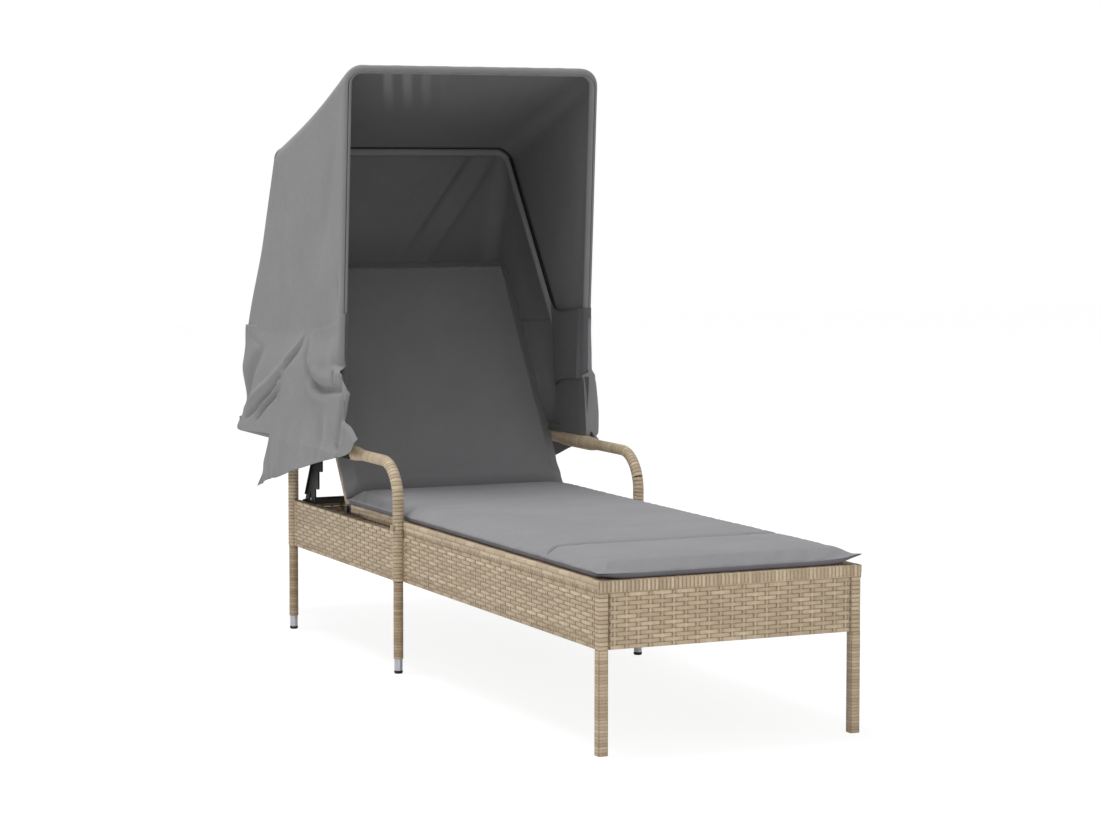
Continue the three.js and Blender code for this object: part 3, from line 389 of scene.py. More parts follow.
def make_world(strength):
    """Even light from all round, and plain white where the camera or a shiny face sees it."""
    finish = Finish("studio", bpy.data.worlds)
    light = finish.node("Background", inputs={0: WHITE, 1: strength})
    white = finish.node("Background", inputs={0: WHITE, 1: 1.0})
    seen = finish.node("LightPath", output="Is Camera Ray")
    seen = seen.larger(finish.node("LightPath", output="Is Glossy Ray"))
    finish.node("OutputWorld", inputs={0: finish.node("MixShader", inputs={0: seen, 1: light, 2: white})})
    bpy.context.scene.world = finish.material


# Making and finishing a piece

def finished(name, bm, *materials):
    for face in bm.faces:
        face.smooth = True
    mesh = bpy.data.meshes.new(name)
    bm.to_mesh(mesh)
    bm.free()
    for material in materials:
        mesh.materials.append(material)
    piece = bpy.data.objects.new(name, mesh)
    bpy.context.scene.collection.objects.link(piece)
    return piece


def add_modifier(piece, kind, **settings):
    modifier = piece.modifiers.new(kind.lower(), kind)
    for key, value in settings.items():
        setattr(modifier, key, value)
    return modifier


def thicken(piece, thickness, **settings):
    add_modifier(piece, "SOLIDIFY", thickness=thickness / 1000, offset=0.0, use_even_offset=False,
                 **settings)


def subdivide(piece, levels=1):
    add_modifier(piece, "SUBSURF", levels=levels, render_levels=levels)


def apply_modifiers(piece):
    bpy.context.view_layer.update()
    evaluated = piece.evaluated_get(bpy.context.evaluated_depsgraph_get())
    made = bpy.data.meshes.new_from_object(evaluated)
    piece.modifiers.clear()
    piece.data = made


def lay_grid(bm, rows, out=None):
    """A sheet through rows of points, made from a grid, turned so that it faces the given way."""
    count, width = len(rows), len(rows[0])
    made = bmesh.ops.create_grid(bm, x_segments=width - 1, y_segments=count - 1, size=1)["verts"]
    spots, centre = {}, None
    for vert in made:
        j = round((vert.co.x + 1) / 2 * (width - 1))
        i = round((vert.co.y + 1) / 2 * (count - 1))
        vert.co = at(*rows[i][j])
        spots[vert] = (i, j)
        if (i, j) == (count // 2, width // 2):
            centre = vert
    faces = list({face for vert in made for face in vert.link_faces})
    bmesh.ops.recalc_face_normals(bm, faces=faces)
    if out:
        for face in centre.link_faces:
            face.normal_update()
        if sum(face.normal.dot(out) for face in centre.link_faces) < 0:
            bmesh.ops.reverse_faces(bm, faces=faces)
    return spots


def spline(points, share):
    """A smooth line through points, at a share of the way from its first to its last."""
    last = len(points) - 1
    place = clamp(share) * last
    i = min(int(place), last - 1)
    t = place - i
    p1, p2 = points[i], points[i + 1]
    p0 = points[i - 1] if i > 0 else p1
    p3 = points[i + 2] if i + 2 <= last else p2
    made = []
    for a, b, c, d in zip(p0, p1, p2, p3):
        m1, m2 = (c - a) / 2, (d - b) / 2
        made.append(b + m1 * t + (3 * (c - b) - 2 * m1 - m2) * t * t + (2 * (b - c) + m1 + m2) * t ** 3)
    return made


def ridge(p, q, line, width, height):
    """The height at (p, q) of a fold along a line of points, soft to each side and at its ends."""
    best = 0.0
    total = len(line) - 1
    for index in range(total):
        (a, b), (c, d) = line[index], line[index + 1]
        length = (c - a) ** 2 + (d - b) ** 2
        t = clamp(((p - a) * (c - a) + (q - b) * (d - b)) / length)
        away = math.hypot(p - a - t * (c - a), q - b - t * (d - b))
        share = (index + t) / total
        strength = bell(away, width) * math.sin(math.pi * (0.12 + 0.76 * share)) ** 0.7
        best = max(best, strength)
    return best * height


# Back: turned about its hinge from lying flat over the deck

HINGE_Y, HINGE_Z = 1430.0, 336.0
BACK_TURN = math.radians(57)
FOLD_SLOPE = math.tan(math.radians(35))


def lean(spot):
    """A place across, along and square to the back, turned with it about its hinge."""
    return Matrix.Rotation(BACK_TURN, 3, "X") @ Vector(spot) + Vector((0, HINGE_Y, HINGE_Z))


# Rattan: strands wound round bars, woven over stakes, and laid in rows along the rim

ROW = 8.68
STAKE = 26.6
BRICK_HALF, BRICK_TONES = 4.3, (0.4, 0.85)
BAR = [(math.cos(math.tau * i / 16), math.sin(math.tau * i / 16)) for i in range(17)]


class Strands:
    """Strands of one piece, each vertex with its strand's tone and how open it lies to the light, which sets
    its painted shade.
    """

    def __init__(self):
        self.bm = bmesh.new()
        self.tone = self.bm.verts.layers.float.new("tone")
        self.depth = self.bm.verts.layers.float.new("depth")

    def lay(self, rows, tones, depths, out=None, closed=False):
        spots = lay_grid(self.bm, rows, out)
        for vert, (i, j) in spots.items():
            vert[self.tone] = tones[i]
            vert[self.depth] = depths[i][j]
        if closed:
            bmesh.ops.remove_doubles(self.bm, verts=list(spots), dist=1e-6)

    def piece(self, name, body, slot, replaced):
        made = finished(name, self.bm, STRAND)
        if replaced:
            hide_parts(replaced)
        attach(made, body)
        return made


def round_bar(radius):
    return [(radius * a, radius * b) for a, b in BAR]


def square_bar(half, corner):
    """A square section with rounded corners, from one corner round to there again."""
    flat = half - corner
    arc = flat + corner * 0.707
    made = []
    for quarter in range(4):
        c, s = math.cos(math.pi / 2 * quarter), math.sin(math.pi / 2 * quarter)
        for a, b in ((half, flat), (arc, arc), (flat, half), (0.0, half)):
            made.append((a * c - b * s, a * s + b * c))
    return made + made[:1]


TURN = ((0.0, 1.0, 0.12), (0.1, 0.3, 0.8), (0.32, 0.0, 1.0), (0.68, 0.0, 1.0), (0.9, 0.3, 0.8))


def wind(strands, path, start, end, pitch, section, groove=0.8, slant=0.0, tones=(0.25, 0.8), seed=0,
         gap=0.12, swell=None, corner_shade=None):
    """Flat strand wound round a bar: a rounded band for each turn, and a narrow groove between turns."""
    count = round((end - start) / pitch)
    pitch = (end - start) / count
    rows, shades, depths = [], [], []
    for band in range(count + 1):
        shade = mix(*tones, pick(seed, band))
        for share, sunk, lit in TURN if band < count else TURN[:1]:
            s = start + (band + share) * pitch
            centre, side, up, way = path(s)
            extra = swell(s) if swell else 0.0
            row, depth = [], []
            for index, (a, b) in enumerate(section):
                reach = math.hypot(a, b)
                scale = (reach + extra - groove * sunk) / reach
                row.append(centre + side * a * scale + up * b * scale + way * (slant * pitch * b / reach))
                # Points in the groove, and at the corners when given, are darkened as painted shade.
                low = lit if sunk < 1 else gap
                depth.append(low * corner_shade[index] if corner_shade else low)
            rows.append(row)
            shades.append(shade)
            depths.append(depth)
    strands.lay(rows, shades, depths, closed=True)


def upright(x, y):
    return lambda z: (Vector((x, y, z)), RIGHT, HEADWARDS, UP)


ARM_X, ARM_TOP, ARM_BEND = 308.0, 483.5, 88.0
ARM_FRONT, ARM_REAR, ARM_FOOT = 1040.0, 1746.0, 212.0
ARM_RISE = ARM_TOP - ARM_BEND - ARM_FOOT
ARM_CURVE = math.pi / 2 * ARM_BEND
ARM_RUN = ARM_REAR - ARM_FRONT - 2 * ARM_BEND


def arm_path(side):
    """The middle of an armrest's tube: up the front post, over the top and down the rear post."""
    def path(s):
        if s > ARM_RISE + ARM_CURVE + ARM_RUN / 2:
            centre, side_way, up, way = path(2 * (ARM_RISE + ARM_CURVE) + ARM_RUN - s)
            centre.y = ARM_FRONT + ARM_REAR - centre.y
            return centre, side_way, Vector((0, -up.y, up.z)), Vector((0, way.y, -way.z))
        if s < ARM_RISE:
            return Vector((side * ARM_X, ARM_FRONT, ARM_FOOT + s)), RIGHT, -HEADWARDS, UP
        if s < ARM_RISE + ARM_CURVE:
            turn = (s - ARM_RISE) / ARM_BEND
            out = Vector((0, -math.cos(turn), math.sin(turn)))
            middle = Vector((side * ARM_X, ARM_FRONT + ARM_BEND, ARM_TOP - ARM_BEND))
            return middle + out * ARM_BEND, RIGHT, out, Vector((0, math.sin(turn), math.cos(turn)))
        y = ARM_FRONT + ARM_BEND + s - ARM_RISE - ARM_CURVE
        return Vector((side * ARM_X, y, ARM_TOP)), RIGHT, UP, HEADWARDS
    return path


def clamp_swell(s):
    """The winding passes over the two clamps of the hood's bracket, which thicken the armrest."""
    y = ARM_FRONT + ARM_BEND + s - ARM_RISE - ARM_CURVE
    return 4.2 * smooth((y - 1258) / 52) * smooth((1484 - y) / 52)


def make_wound_bars():
    # Darker at the square legs' rounded corners: a painted shadow line along each corner edge.
    corners = [0.45 if i % 4 == 1 else 1.0 for i in range(17)]
    for name, side in SIDES.items():
        strands = Strands()
        seed = 3 + side
        path = arm_path(side)
        bend, run_end = ARM_RISE + 30, ARM_RISE + 2 * ARM_CURVE + ARM_RUN - 30
        wind(strands, path, 0, bend, 8.7, round_bar(13), 1.2, -0.12 * side, (0.3, 0.75), seed)
        wind(strands, path, bend, run_end, 8.4, round_bar(13), 0.7, 0.3 * side, (0.45, 0.95), seed + 5,
             0.3, clamp_swell)
        wind(strands, path, run_end, 2 * (ARM_RISE + ARM_CURVE) + ARM_RUN, 8.7, round_bar(13), 0.9,
             0.12 * side, (0.3, 0.75), seed + 9)
        strands.piece(f"armrest_winding_{name}", "frame", "rattan", f"armrest_{name}")

        strands = Strands()
        path = upright(side * 289, 11)
        wind(strands, path, 0, 211, 6.5, square_bar(11, 3), 0.35, 0.0, (0.2, 0.75), seed + 13, 0.55,
             corner_shade=corners)
        wind(strands, path, 211, 324.7, 8.75, square_bar(11, 3.5), 0.9, 0.0, (0.3, 0.8), seed + 17)
        strands.piece(f"front_leg_winding_{name}", "frame", "rattan", f"front_leg_{name}")

        for place, y in (("mid", ARM_FRONT), ("rear", ARM_REAR)):
            strands = Strands()
            wind(strands, upright(side * ARM_X, y), 34, 211.7, 6.9, round_bar(11.3), 0.35, 0.05,
                 (0.0, 0.4), seed + 23 + y, 0.5)
            strands.piece(f"{place}_{name}_leg_winding", "frame", "rattan", f"{place}_{name}_lower_leg")


def row_strand(strands, origin, along, rise, out, spans, half, seed, swell=None, wrap=None,
               tones=(0.3, 0.8)):
    """One flat strand laid along a row: spans gives its places, heights, openness and tone number."""
    section = [(-half, -0.6, 0.42), (-half * 0.74, 0.0, 1.0), (half * 0.74, 0.0, 1.0), (half, -0.6, 0.42)]
    if wrap:
        section[3:] = [(half * 0.95, -0.35, 1.0), (half * 0.95 + 0.6, -1.4, 1.0), (half + 0.6, -wrap, 0.8)]
    rows, shades, depths = [], [], []
    for u, height, lit, number in spans:
        base = origin + along * u + out * (swell(u) if swell else 0.0)
        rows.append([base + rise * v + out * (height + drop) for v, drop, glow in section])
        # A strand's edges are darker as painted shade, and the crown of a float over a stake gets a lighter
        # tone as a painted highlight.
        shades.append(mix(*tones, pick(seed, number)) + 0.18 * (height > 1.35))
        depths.append([lit * glow for v, drop, glow in section])
    strands.lay(rows, shades, depths, out)


def weave(strands, origin, along, rise, out, width, height, seed, steps=(-8.5, -4.2, 0, 4.2, 8.5), trim=0.0,
          tones=(0.3, 0.8), brick_rows=(), brown=0):
    """Plain weave: flat strands pass over one stake and behind the next, row by row."""
    stakes = round(width / STAKE)
    pitch = width / stakes
    rows = round(height / ROW)
    step = height / rows
    for row in range(rows):
        shades = (tones[0] - 0.2, tones[1] - 0.2) if row < brown else tones
        if row in brick_rows:
            shades = (0.7, 0.95)
        level = origin + rise * (step * (row + 0.5))
        spans = [(trim, -0.6, 0.3, -1), (trim + 2.0, 0.6, 1.0, -1)]
        number = 0
        for k in range(stakes):
            middle = (k + 0.5) * pitch
            under = (k + row) % 2 == 1
            for offset in steps:
                near = bell(offset, 4.6)
                # Where a strand passes behind a stake it is darkened as painted shade.
                if under:
                    spans.append((middle + offset, 0.95 - 2.1 * near, 1 - 0.7 * near, number + (offset > 0)))
                else:
                    spans.append((middle + offset, 0.95 + 0.75 * near, 1.0, number))
            number += under
        spans += [(width - trim - 2.0, 0.6, 1.0, number), (width - trim, -0.6, 0.3, number)]
        row_strand(strands, level, along, rise, out, spans, step * 0.48, seed + row * 7, tones=shades)
    for k in range(stakes):
        base = origin + along * ((k + 0.5) * pitch)
        lines, shades, depths = [], [], []
        for row in range(rows):
            over = (k + row) % 2 == 1
            for share in ((0.1, 0.3, 0.5, 0.7, 0.9) if over else (0.5,)):
                high = 1.3 + 0.25 * bell(share - 0.5, 0.3) if over else -1.2
                if over and share in (0.1, 0.9):
                    high = 0.6
                spot = base + rise * (step * (row + share)) + out * high
                lines.append([spot - along * 3.4 - out * 0.5, spot, spot + along * 3.4 - out * 0.5])
                shades.append(mix(0.6, 0.95, pick(seed, k, row)))
                # Stakes are darker where they pass under a row, as painted shade.
                depths.append([0.5, 1.0, 0.5] if over else [0.2, 0.3, 0.2])
        strands.lay(lines, shades, depths, out)


def bricks(strands, origin, along, rise, out, length, shift, seed, swell, wrap=None):
    """A row of long floats, each tucked in at its ends."""
    spans = [(0.0, -0.4, 0.3, 0), (1.5, 0.9, 1.0, 0)]
    number, place = 0, shift
    while place < length - 4:
        # Each float's tucked-in ends are darkened as painted shade.
        spans += [(place - 3.5, 1.0, 1.0, number), (place - 1.2, 0.6, 0.8, number),
                  (place, -0.9, 0.12, number), (place + 1.2, 0.6, 0.8, number + 1),
                  (place + 3.5, 1.0, 1.0, number + 1)]
        if place + 30 < length:
            spans.append((place + 26, 1.15, 1.0, number + 1))
        number += 1
        place += 2 * STAKE
    spans += [(length - 1.5, 0.9, 1.0, number), (length, -0.4, 0.3, number)]
    row_strand(strands, origin, along, rise, out, spans, BRICK_HALF, seed, swell, wrap, BRICK_TONES)


def lashings(strands, origin, along, rise, out, length, seed, swell):
    """Short slanted turns that tie the rim's rows to the panel under them."""
    count = round(length / 7.6)
    for i in range(count):
        place = (i + 0.5) * length / count
        spot = origin + along * place + out * (swell(place) - 0.5)
        slope = (along * 0.5 + rise).normalized()
        rows = []
        for reach, high in ((-4.2, -0.6), (-2, 0.9), (2, 0.9), (4.2, -0.6)):
            middle = spot + slope * reach + out * high
            rows.append([middle - along * 2.0 - out * 0.5, middle, middle + along * 2.0 - out * 0.5])
        tone = pick(seed, i) * 0.4
        # A lashing's ends are darker than its middle, as painted shade.
        end, body = [0.0, 0.25, 0.0], [0.15, 0.85, 0.15]
        strands.lay(rows, [tone] * 4, [end, body, body, end], out)


RIM_TURN = ((-3.9, 1.6), (-2.6, 0.1), (2.6, 0.1), (3.9, 1.6))


def make_rim():
    """The rim over the seat frame: upright turns across the foot end, long floats down its sides."""
    strands = Strands()
    # The third value of each turn sets how open it lies, darkening it as painted shade at the bottom and
    # under the cushion.
    turns = ((1.2, 324.4, 0.2), (-0.7, 326.5, 0.9), (-1.1, 331, 1.0), (-1.1, 343, 1.0), (-0.6, 347.8, 1.0),
             (1.2, 349.8, 1.0), (5, 350.3, 0.9), (22, 350.0, 0.6))
    count = 68
    for i in range(count):
        x = mix(-300, 300, (i + 0.5) / count)
        tone = mix(0.2, 0.9, pick(5, i) ** 0.8)
        rows, depths = [], []
        for y, z, lit in turns:
            inward = Vector((0, 0.5, 0)) if z < 347 else Vector((0, 0, -0.5))
            spot = Vector((x + (pick(9, i) - 0.5) * 0.7, y, z))
            rows.append([spot + RIGHT * a + inward * b for a, b in RIM_TURN])
            depths.append([0.15, lit, lit, 0.15])
        strands.lay(rows, [tone] * len(rows), depths, Vector((0, -1, 0.3)))
    for name, side in SIDES.items():
        out = Vector((side, 0, 0))
        for start, end, x, over_plate in ((-1, 1030, 300.0, 0.0), (1027, 1404, 280.0, 4.4)):
            origin = Vector((side * x, start, 0))
            length = end - start

            def swell(u):
                return over_plate * smooth((u + start - 1336) / 22)

            bricks(strands, origin + UP * 344.9, HEADWARDS, UP, out, length, 30, 11 + side, swell, 9.0)
            bricks(strands, origin + UP * 336.1, HEADWARDS, UP, out, length, 30 + STAKE, 21 + side, swell)
            lashings(strands, origin + UP * 327.4, HEADWARDS, UP, out, length, 31 + side, swell)
    strands.piece("rim_winding", "frame", "rattan", None)


def make_panels():
    left, foot = Vector((-1, 0, 0)), Vector((0, -1, 0))
    strands = Strands()
    weave(strands, Vector((-277.7, 2.0, 212)), RIGHT, UP, foot, 555.4, 112.7, 101, trim=2.6)
    strands.piece("foot_end_weave", "frame", "rattan", None)
    strands = Strands()
    weave(strands, Vector((-294.7, 1757, 212)), RIGHT, UP, -foot, 589.4, 100, 131)
    strands.piece("head_end_weave", "frame", "rattan", None)
    for name, side in SIDES.items():
        out = Vector((side, 0, 0))
        strands = Strands()
        weave(strands, Vector((side * 298, 22.3, 212)), HEADWARDS, UP, out, 1009.5, 112, 151 + side,
              trim=0.6, brick_rows=(3, 11), brown=3)
        strands.piece(f"front_side_weave_{name}", "frame", "rattan", None)
        strands = Strands()
        weave(strands, Vector((side * 311, 1053.3, 212)), HEADWARDS, UP, out, 679.4, 114.5, 171 + side,
              trim=0.6, brick_rows=(12,), brown=2)
        strands.piece(f"rear_side_weave_{name}", "frame", "rattan", None)


def make_back_weave():
    """The woven panel behind the back cushion, seen from the head end."""
    strands = Strands()
    origin = lean(Vector((-257.7, 12.8, 3.5)))
    along = RIGHT
    rise = lean(Vector((0, 1, 0))) - lean(Vector((0, 0, 0)))
    out = lean(Vector((0, 0, -1))) - lean(Vector((0, 0, 0)))
    weave(strands, origin, along, rise, out, 515.4, 644.9, 201, steps=(-6, 0, 6))
    strands.piece("back_weave", "backrest", "rattan", None)


# Hood: hoops on common pivots, each given as its half width, its angle and its reach

PIVOT_Y, PIVOT_Z = 1371.0, 546.0
HOOP_RADIUS = 8.5
HOOP_CORNER = 34.0
MID_ANGLE = math.radians(54.5)
MID_REACH = (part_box("mid_hoop")[1][2] * 1000 - HOOP_RADIUS - PIVOT_Z) / math.sin(MID_ANGLE)
FRONT = (321.3, math.radians(93.5), 849.0)
MID = (317.5, MID_ANGLE, MID_REACH)
REAR = (330.0, 484.0, 2114.0)
SHEET_OUT = 10.6
COUNTS = (40, 8, 34)


def hoop_walk(half_width, start, reach):
    """Stations round a hoop, up one leg, over the bar and down the other: X, the distance up, the
    outward way as a share across and a share up, and the distance from the middle of the corner."""
    legs, corner, bar = COUNTS
    half = []
    top = reach - HOOP_CORNER
    for i in range(legs):
        s = mix(start, top, i / legs)
        half.append((half_width, s, 1.0, 0.0, top - s + 26))
    for i in range(corner):
        turn = math.pi / 2 * i / corner
        x = half_width - HOOP_CORNER + HOOP_CORNER * math.cos(turn)
        away = abs(turn - math.pi / 4) * HOOP_CORNER
        half.append((x, top + HOOP_CORNER * math.sin(turn), math.cos(turn), math.sin(turn), away))
    for i in range(bar + 1):
        x = (half_width - HOOP_CORNER) * (1 - i / bar)
        half.append((x, reach, 0.0, 1.0, half_width - HOOP_CORNER - x + 26))
    return half + [(-x, s, -nx, ns, away) for x, s, nx, ns, away in half[-2::-1]]


def on_hoop(hoop, x, s):
    return Vector((x, PIVOT_Y + s * math.cos(hoop[1]), PIVOT_Z + s * math.sin(hoop[1])))


def hoop_line(hoop, start):
    made = []
    for x, s, nx, ns, away in hoop_walk(hoop[0], start, hoop[2]):
        way = Vector((nx, ns * math.cos(hoop[1]), ns * math.sin(hoop[1])))
        made.append((on_hoop(hoop, x, s), way, ns, away))
    return made


def rear_line(start):
    made = []
    for x, s, nx, ns, away in hoop_walk(REAR[0], start, REAR[2] - PIVOT_Y):
        made.append((Vector((x, PIVOT_Y + s, REAR[1])), Vector((nx, ns, 0)), ns, away))
    return made


def round_tube(centre, out, back, radius, angles):
    """Points round a tube, by their angle from the way back, turning through the outward way."""
    turns = [math.radians(a) for a in angles]
    return [centre + back * (radius * math.cos(t)) + out * (radius * math.sin(t)) for t in turns]


def front_side_sag(share, spot):
    """How far a side of the front sheet sinks in between its hoops."""
    rise = smooth((spot.z - PIVOT_Z) / 280)
    sag = math.sin(math.pi * share) * (5.0 + 1.3 * math.sin(spot.z / 41 + share * 5)) * rise
    if spot.x < 0:
        sag += ridge(spot.y, spot.z, [(1388, 1210), (1430, 1105), (1466, 1020)], 24, 3.4)
        sag += ridge(spot.y, spot.z, [(1342, 960), (1378, 850)], 20, 2.6)
        sag -= ridge(spot.y, spot.z, [(1420, 1000), (1500, 860)], 34, 2.2)
    else:
        sag += ridge(spot.y, spot.z, [(1400, 1150), (1440, 980)], 26, 2.4)
    return sag


def front_top_sag(share, spot):
    sag = math.sin(math.pi * share) * (10.0 + 1.2 * math.sin(spot.x / 37))
    for x, depth in ((-214, 3.0), (-164, 4.0), (-114, 4.0), (-64, 3.0), (60, 2.0), (180, 2.0)):
        along = smooth((share - 0.01) / 0.08) * bell(share - 0.1, 0.2)
        sag += depth * bell(spot.x - x - 100 * share, 14) * along
    return sag


def back_side_sag(share, spot):
    sag = math.sin(math.pi * share) * (4.0 + 1.4 * math.sin(spot.y / 43 + share * 6))
    if spot.x < 0:
        sag += ridge(spot.y, spot.z, [(1838, 925), (1815, 880)], 20, 3.0)
        sag += ridge(spot.y, spot.z, [(1760, 960), (1722, 860)], 24, 3.0)
    return sag


def slant_fold(x, share, start, end, width):
    """A fold that runs slantwise over a sheet, from and to places given by X and the share back."""
    t = (share - start[1]) / (end[1] - start[1])
    if t < -0.3 or t > 1.3:
        return 0.0
    return bell(x - mix(start[0], end[0], t), width) * smooth((t + 0.3) / 0.5) * smooth((1.3 - t) / 0.7)


def back_top_sag(share, spot):
    sag = math.sin(math.pi * share) * (7.0 + 1.4 * math.sin(spot.x / 44))
    sag += 17.0 * slant_fold(spot.x, share, (205, 0.01), (60, 0.36), 13)
    sag -= 10.0 * slant_fold(spot.x, share, (236, 0.03), (92, 0.38), 14)
    sag += 18.0 * slant_fold(spot.x, share, (272, 0.05), (120, 0.42), 15)
    sag += 8.0 * slant_fold(spot.x, share, (120, 0.03), (10, 0.25), 12)
    return sag


FRONT_SAGS, BACK_SAGS = (front_side_sag, front_top_sag), (back_side_sag, back_top_sag)
CORNER_BULGE = [(0, 0), (0.3, 4), (0.62, 14), (0.76, 0), (0.9, -26), (1, 0)]


def corner_shift(x, share, away):
    """The rear corners of the hood stand out above and are slack and drawn in just over the hoop."""
    return Vector((math.copysign(0.6, x), 0.8, 0)) * curve(share, CORNER_BULGE) * bell(away, 80)


def sheet_point(first, second, share, side_a, side_b, sags, rounded):
    """A point of a sheet between two hoops, sagged in, and drawn in or out at a rounded corner."""
    start = first[0] + side_a * SHEET_OUT
    end = second[0] + side_b * SHEET_OUT
    spot = start.lerp(end, share)
    way = side_a.lerp(side_b, share).normalized()
    side_sag, top_sag = sags
    if rounded:
        spot = spot + corner_shift(spot.x, share, first[3])
    return spot - way * mix(side_sag(share, spot), top_sag(share, spot), first[2])


def hood_lines(first_hoop, second_hoop):
    for first, second in zip(first_hoop, second_hoop):
        back = (second[0] - first[0]).normalized()
        side_a = (first[1] - back * first[1].dot(back)).normalized()
        side_b = (second[1] - back * second[1].dot(back)).normalized()
        yield first, second, back, side_a, side_b


SLEEVE_ANGLES = (-35, -62, -90, -140, -160, -210, -235, -258)


def front_section(first, second, back, side_a, side_b):
    """Across the front sheet: a hem inside, the sleeve round the front hoop with its seam, the sheet."""
    a, b, top = first[0], second[0], first[2]
    pucker = 0.5 * math.sin(a.x / 9.7) * math.sin(a.x / 23 + 1) * top
    line = [a + back * 27 + side_a * 8.4, a + back * 16 + side_a * 4.5, a + back * 11 + side_a * 0.5]
    seam = mix(-186, -112, top)
    angles = sorted(SLEEVE_ANGLES + tuple(seam + away for away in (-13, -5, 0, 5, 13)))
    for angle in reversed(angles):
        sunk = 2.6 * bell(angle - seam, 7)
        line += round_tube(a, side_a, back, 9.9 + pucker - sunk, (angle,))
    span = (b - a).length
    for i in range(25):
        share = mix(12 / span, 1 - 15 / span, (i / 24) ** 1.15)
        line.append(sheet_point(first, second, share, side_a, side_b, FRONT_SAGS, False))
    line.append(b - back * mix(4.5, 11.5, second[2]) + side_b * mix(10.3, 7.2, second[2]))
    line.append(b - back * mix(0.5, 8.0, second[2]) + side_b * mix(8.8, 4.6, second[2]))
    return line


def back_section(first, second, back, side_a, side_b):
    """Across the back sheet: over the middle hoop, down to the rear hoop and round it to a rolled hem."""
    a, b, top = first[0], second[0], first[2]
    first_angle = mix(118, 172, top)
    angles = [mix(first_angle, 74, i / 6) for i in range(7)]
    line = []
    for angle in angles:
        proud = 2.0 * top * smooth((angle - 60) / 60)
        line += round_tube(a, side_a, back, 10.7 + proud, (angle,))
    span = (b - a).length
    for i in range(33):
        share = mix(12 / span, 1, i / 32)
        line.append(sheet_point(first, second, share, side_a, side_b, BACK_SAGS, True))
    line += round_tube(b, side_b, back, 10.6, (66, 42, 18, -6, -30, -54, -78, -102, -126, -150))
    line += [b - back * 13 + side_b * 1.0, b - back * 18 + side_b * 5.0, b - back * 27 + side_b * 8.2]
    return line


def sheet_piece(name, rows, out, thickness, cloth, shaded_lining=None, levels=1):
    bm = bmesh.new()
    lay_grid(bm, rows, out)
    piece = finished(name, bm, cloth, shaded_lining or cloth)
    # The inner face takes the lining's darker colour, which is painted shade for the inside of the hood.
    thicken(piece, thickness, material_offset=1 if shaded_lining else 0)
    if levels:
        subdivide(piece, levels)
    apply_modifiers(piece)
    return piece


def make_hood(cloth, shaded_lining, shadow_line):
    front, mid, rear = hoop_line(FRONT, 100), hoop_line(MID, 100), rear_line(120)
    rows = list(zip(*(front_section(*line) for line in hood_lines(front, mid))))
    piece = sheet_piece("hood_front_sheet", rows, UP, 1.2, cloth, shaded_lining)
    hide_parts("canopy_top")
    at(0, *on_hoop(FRONT, 0, 600).yz)
    at(0, *on_hoop(MID, 0, 600).yz)
    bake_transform(piece)

    rows = list(zip(*(back_section(*line) for line in hood_lines(mid, rear))))
    piece = sheet_piece("hood_back_sheet", rows, UP, 1.2, cloth, shaded_lining)
    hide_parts("canopy_back")
    at(0, *on_hoop(MID, 0, 500).yz)
    at(0, REAR[2] - 200, REAR[1])
    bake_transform(piece)

    sleeve, shadow_line_rows = [], []
    for first, second, back, side_a, side_b in hood_lines(mid, rear):
        sleeve.append(round_tube(first[0], side_a, back, 9.9, range(176, 392, 24)))
    for first, second, back, side_a, side_b in hood_lines(front, mid):
        # A thin dark cord just in front of the mid hoop is a painted shadow where the sleeve meets the
        # sheet.
        seam = second[0] - back * 12.5 + side_b * 4.4
        shadow_line_rows.append(round_tube(seam, side_b, back, 1.9, range(0, 361, 60)))
    piece = sheet_piece("mid_hoop_sleeve", list(zip(*sleeve)), None, 0.9, cloth, None)
    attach(piece, "mid_hoop_body")
    bm = bmesh.new()
    lay_grid(bm, shadow_line_rows)
    bmesh.ops.remove_doubles(bm, verts=bm.verts, dist=1e-6)
    piece = finished("mid_hoop_shadow_line", bm, shadow_line)
    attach(piece, "mid_hoop_body")


# Side cloths: loose curtains sewn to the hood's sides, that hang over the armrests

def hood_side(y, z):
    """How far out the hood's side lies at a height and a place along the lounger, and its slack."""
    lift = max(z, REAR[1])
    beyond_mid = (y - PIVOT_Y) * math.sin(MID[1]) - (lift - PIVOT_Z) * math.cos(MID[1])
    if beyond_mid < 0:
        beyond_front = (y - PIVOT_Y) * math.sin(FRONT[1]) - (lift - PIVOT_Z) * math.cos(FRONT[1])
        share = beyond_front / (beyond_front - beyond_mid) if beyond_front > 0 else 0.0
        sag = front_side_sag(share, Vector((-1, y, lift)))
        return mix(FRONT[0], MID[0], share) + SHEET_OUT - sag
    share = beyond_mid / (beyond_mid + lift - REAR[1])
    sag = back_side_sag(share, Vector((-1, y, lift)))
    return mix(MID[0], REAR[0], share) + SHEET_OUT - sag


def rear_edge(z):
    """How far back the hood's rear lies at a height."""
    share = clamp((z - REAR[1]) / (on_hoop(MID, 0, MID[2]).z - REAR[1]))
    return mix(REAR[2], on_hoop(MID, 0, MID[2]).y, share) + SHEET_OUT, 1 - share


def path_through(points, share):
    """A place on a broken line at a share of its length."""
    lengths = [math.dist(a, b) for a, b in zip(points, points[1:])]
    way = clamp(share) * sum(lengths)
    for (a, b), length in zip(zip(points, points[1:]), lengths):
        if way <= length:
            return [mix(p, q, way / length) for p, q in zip(a, b)]
        way -= length
    return list(points[-1])


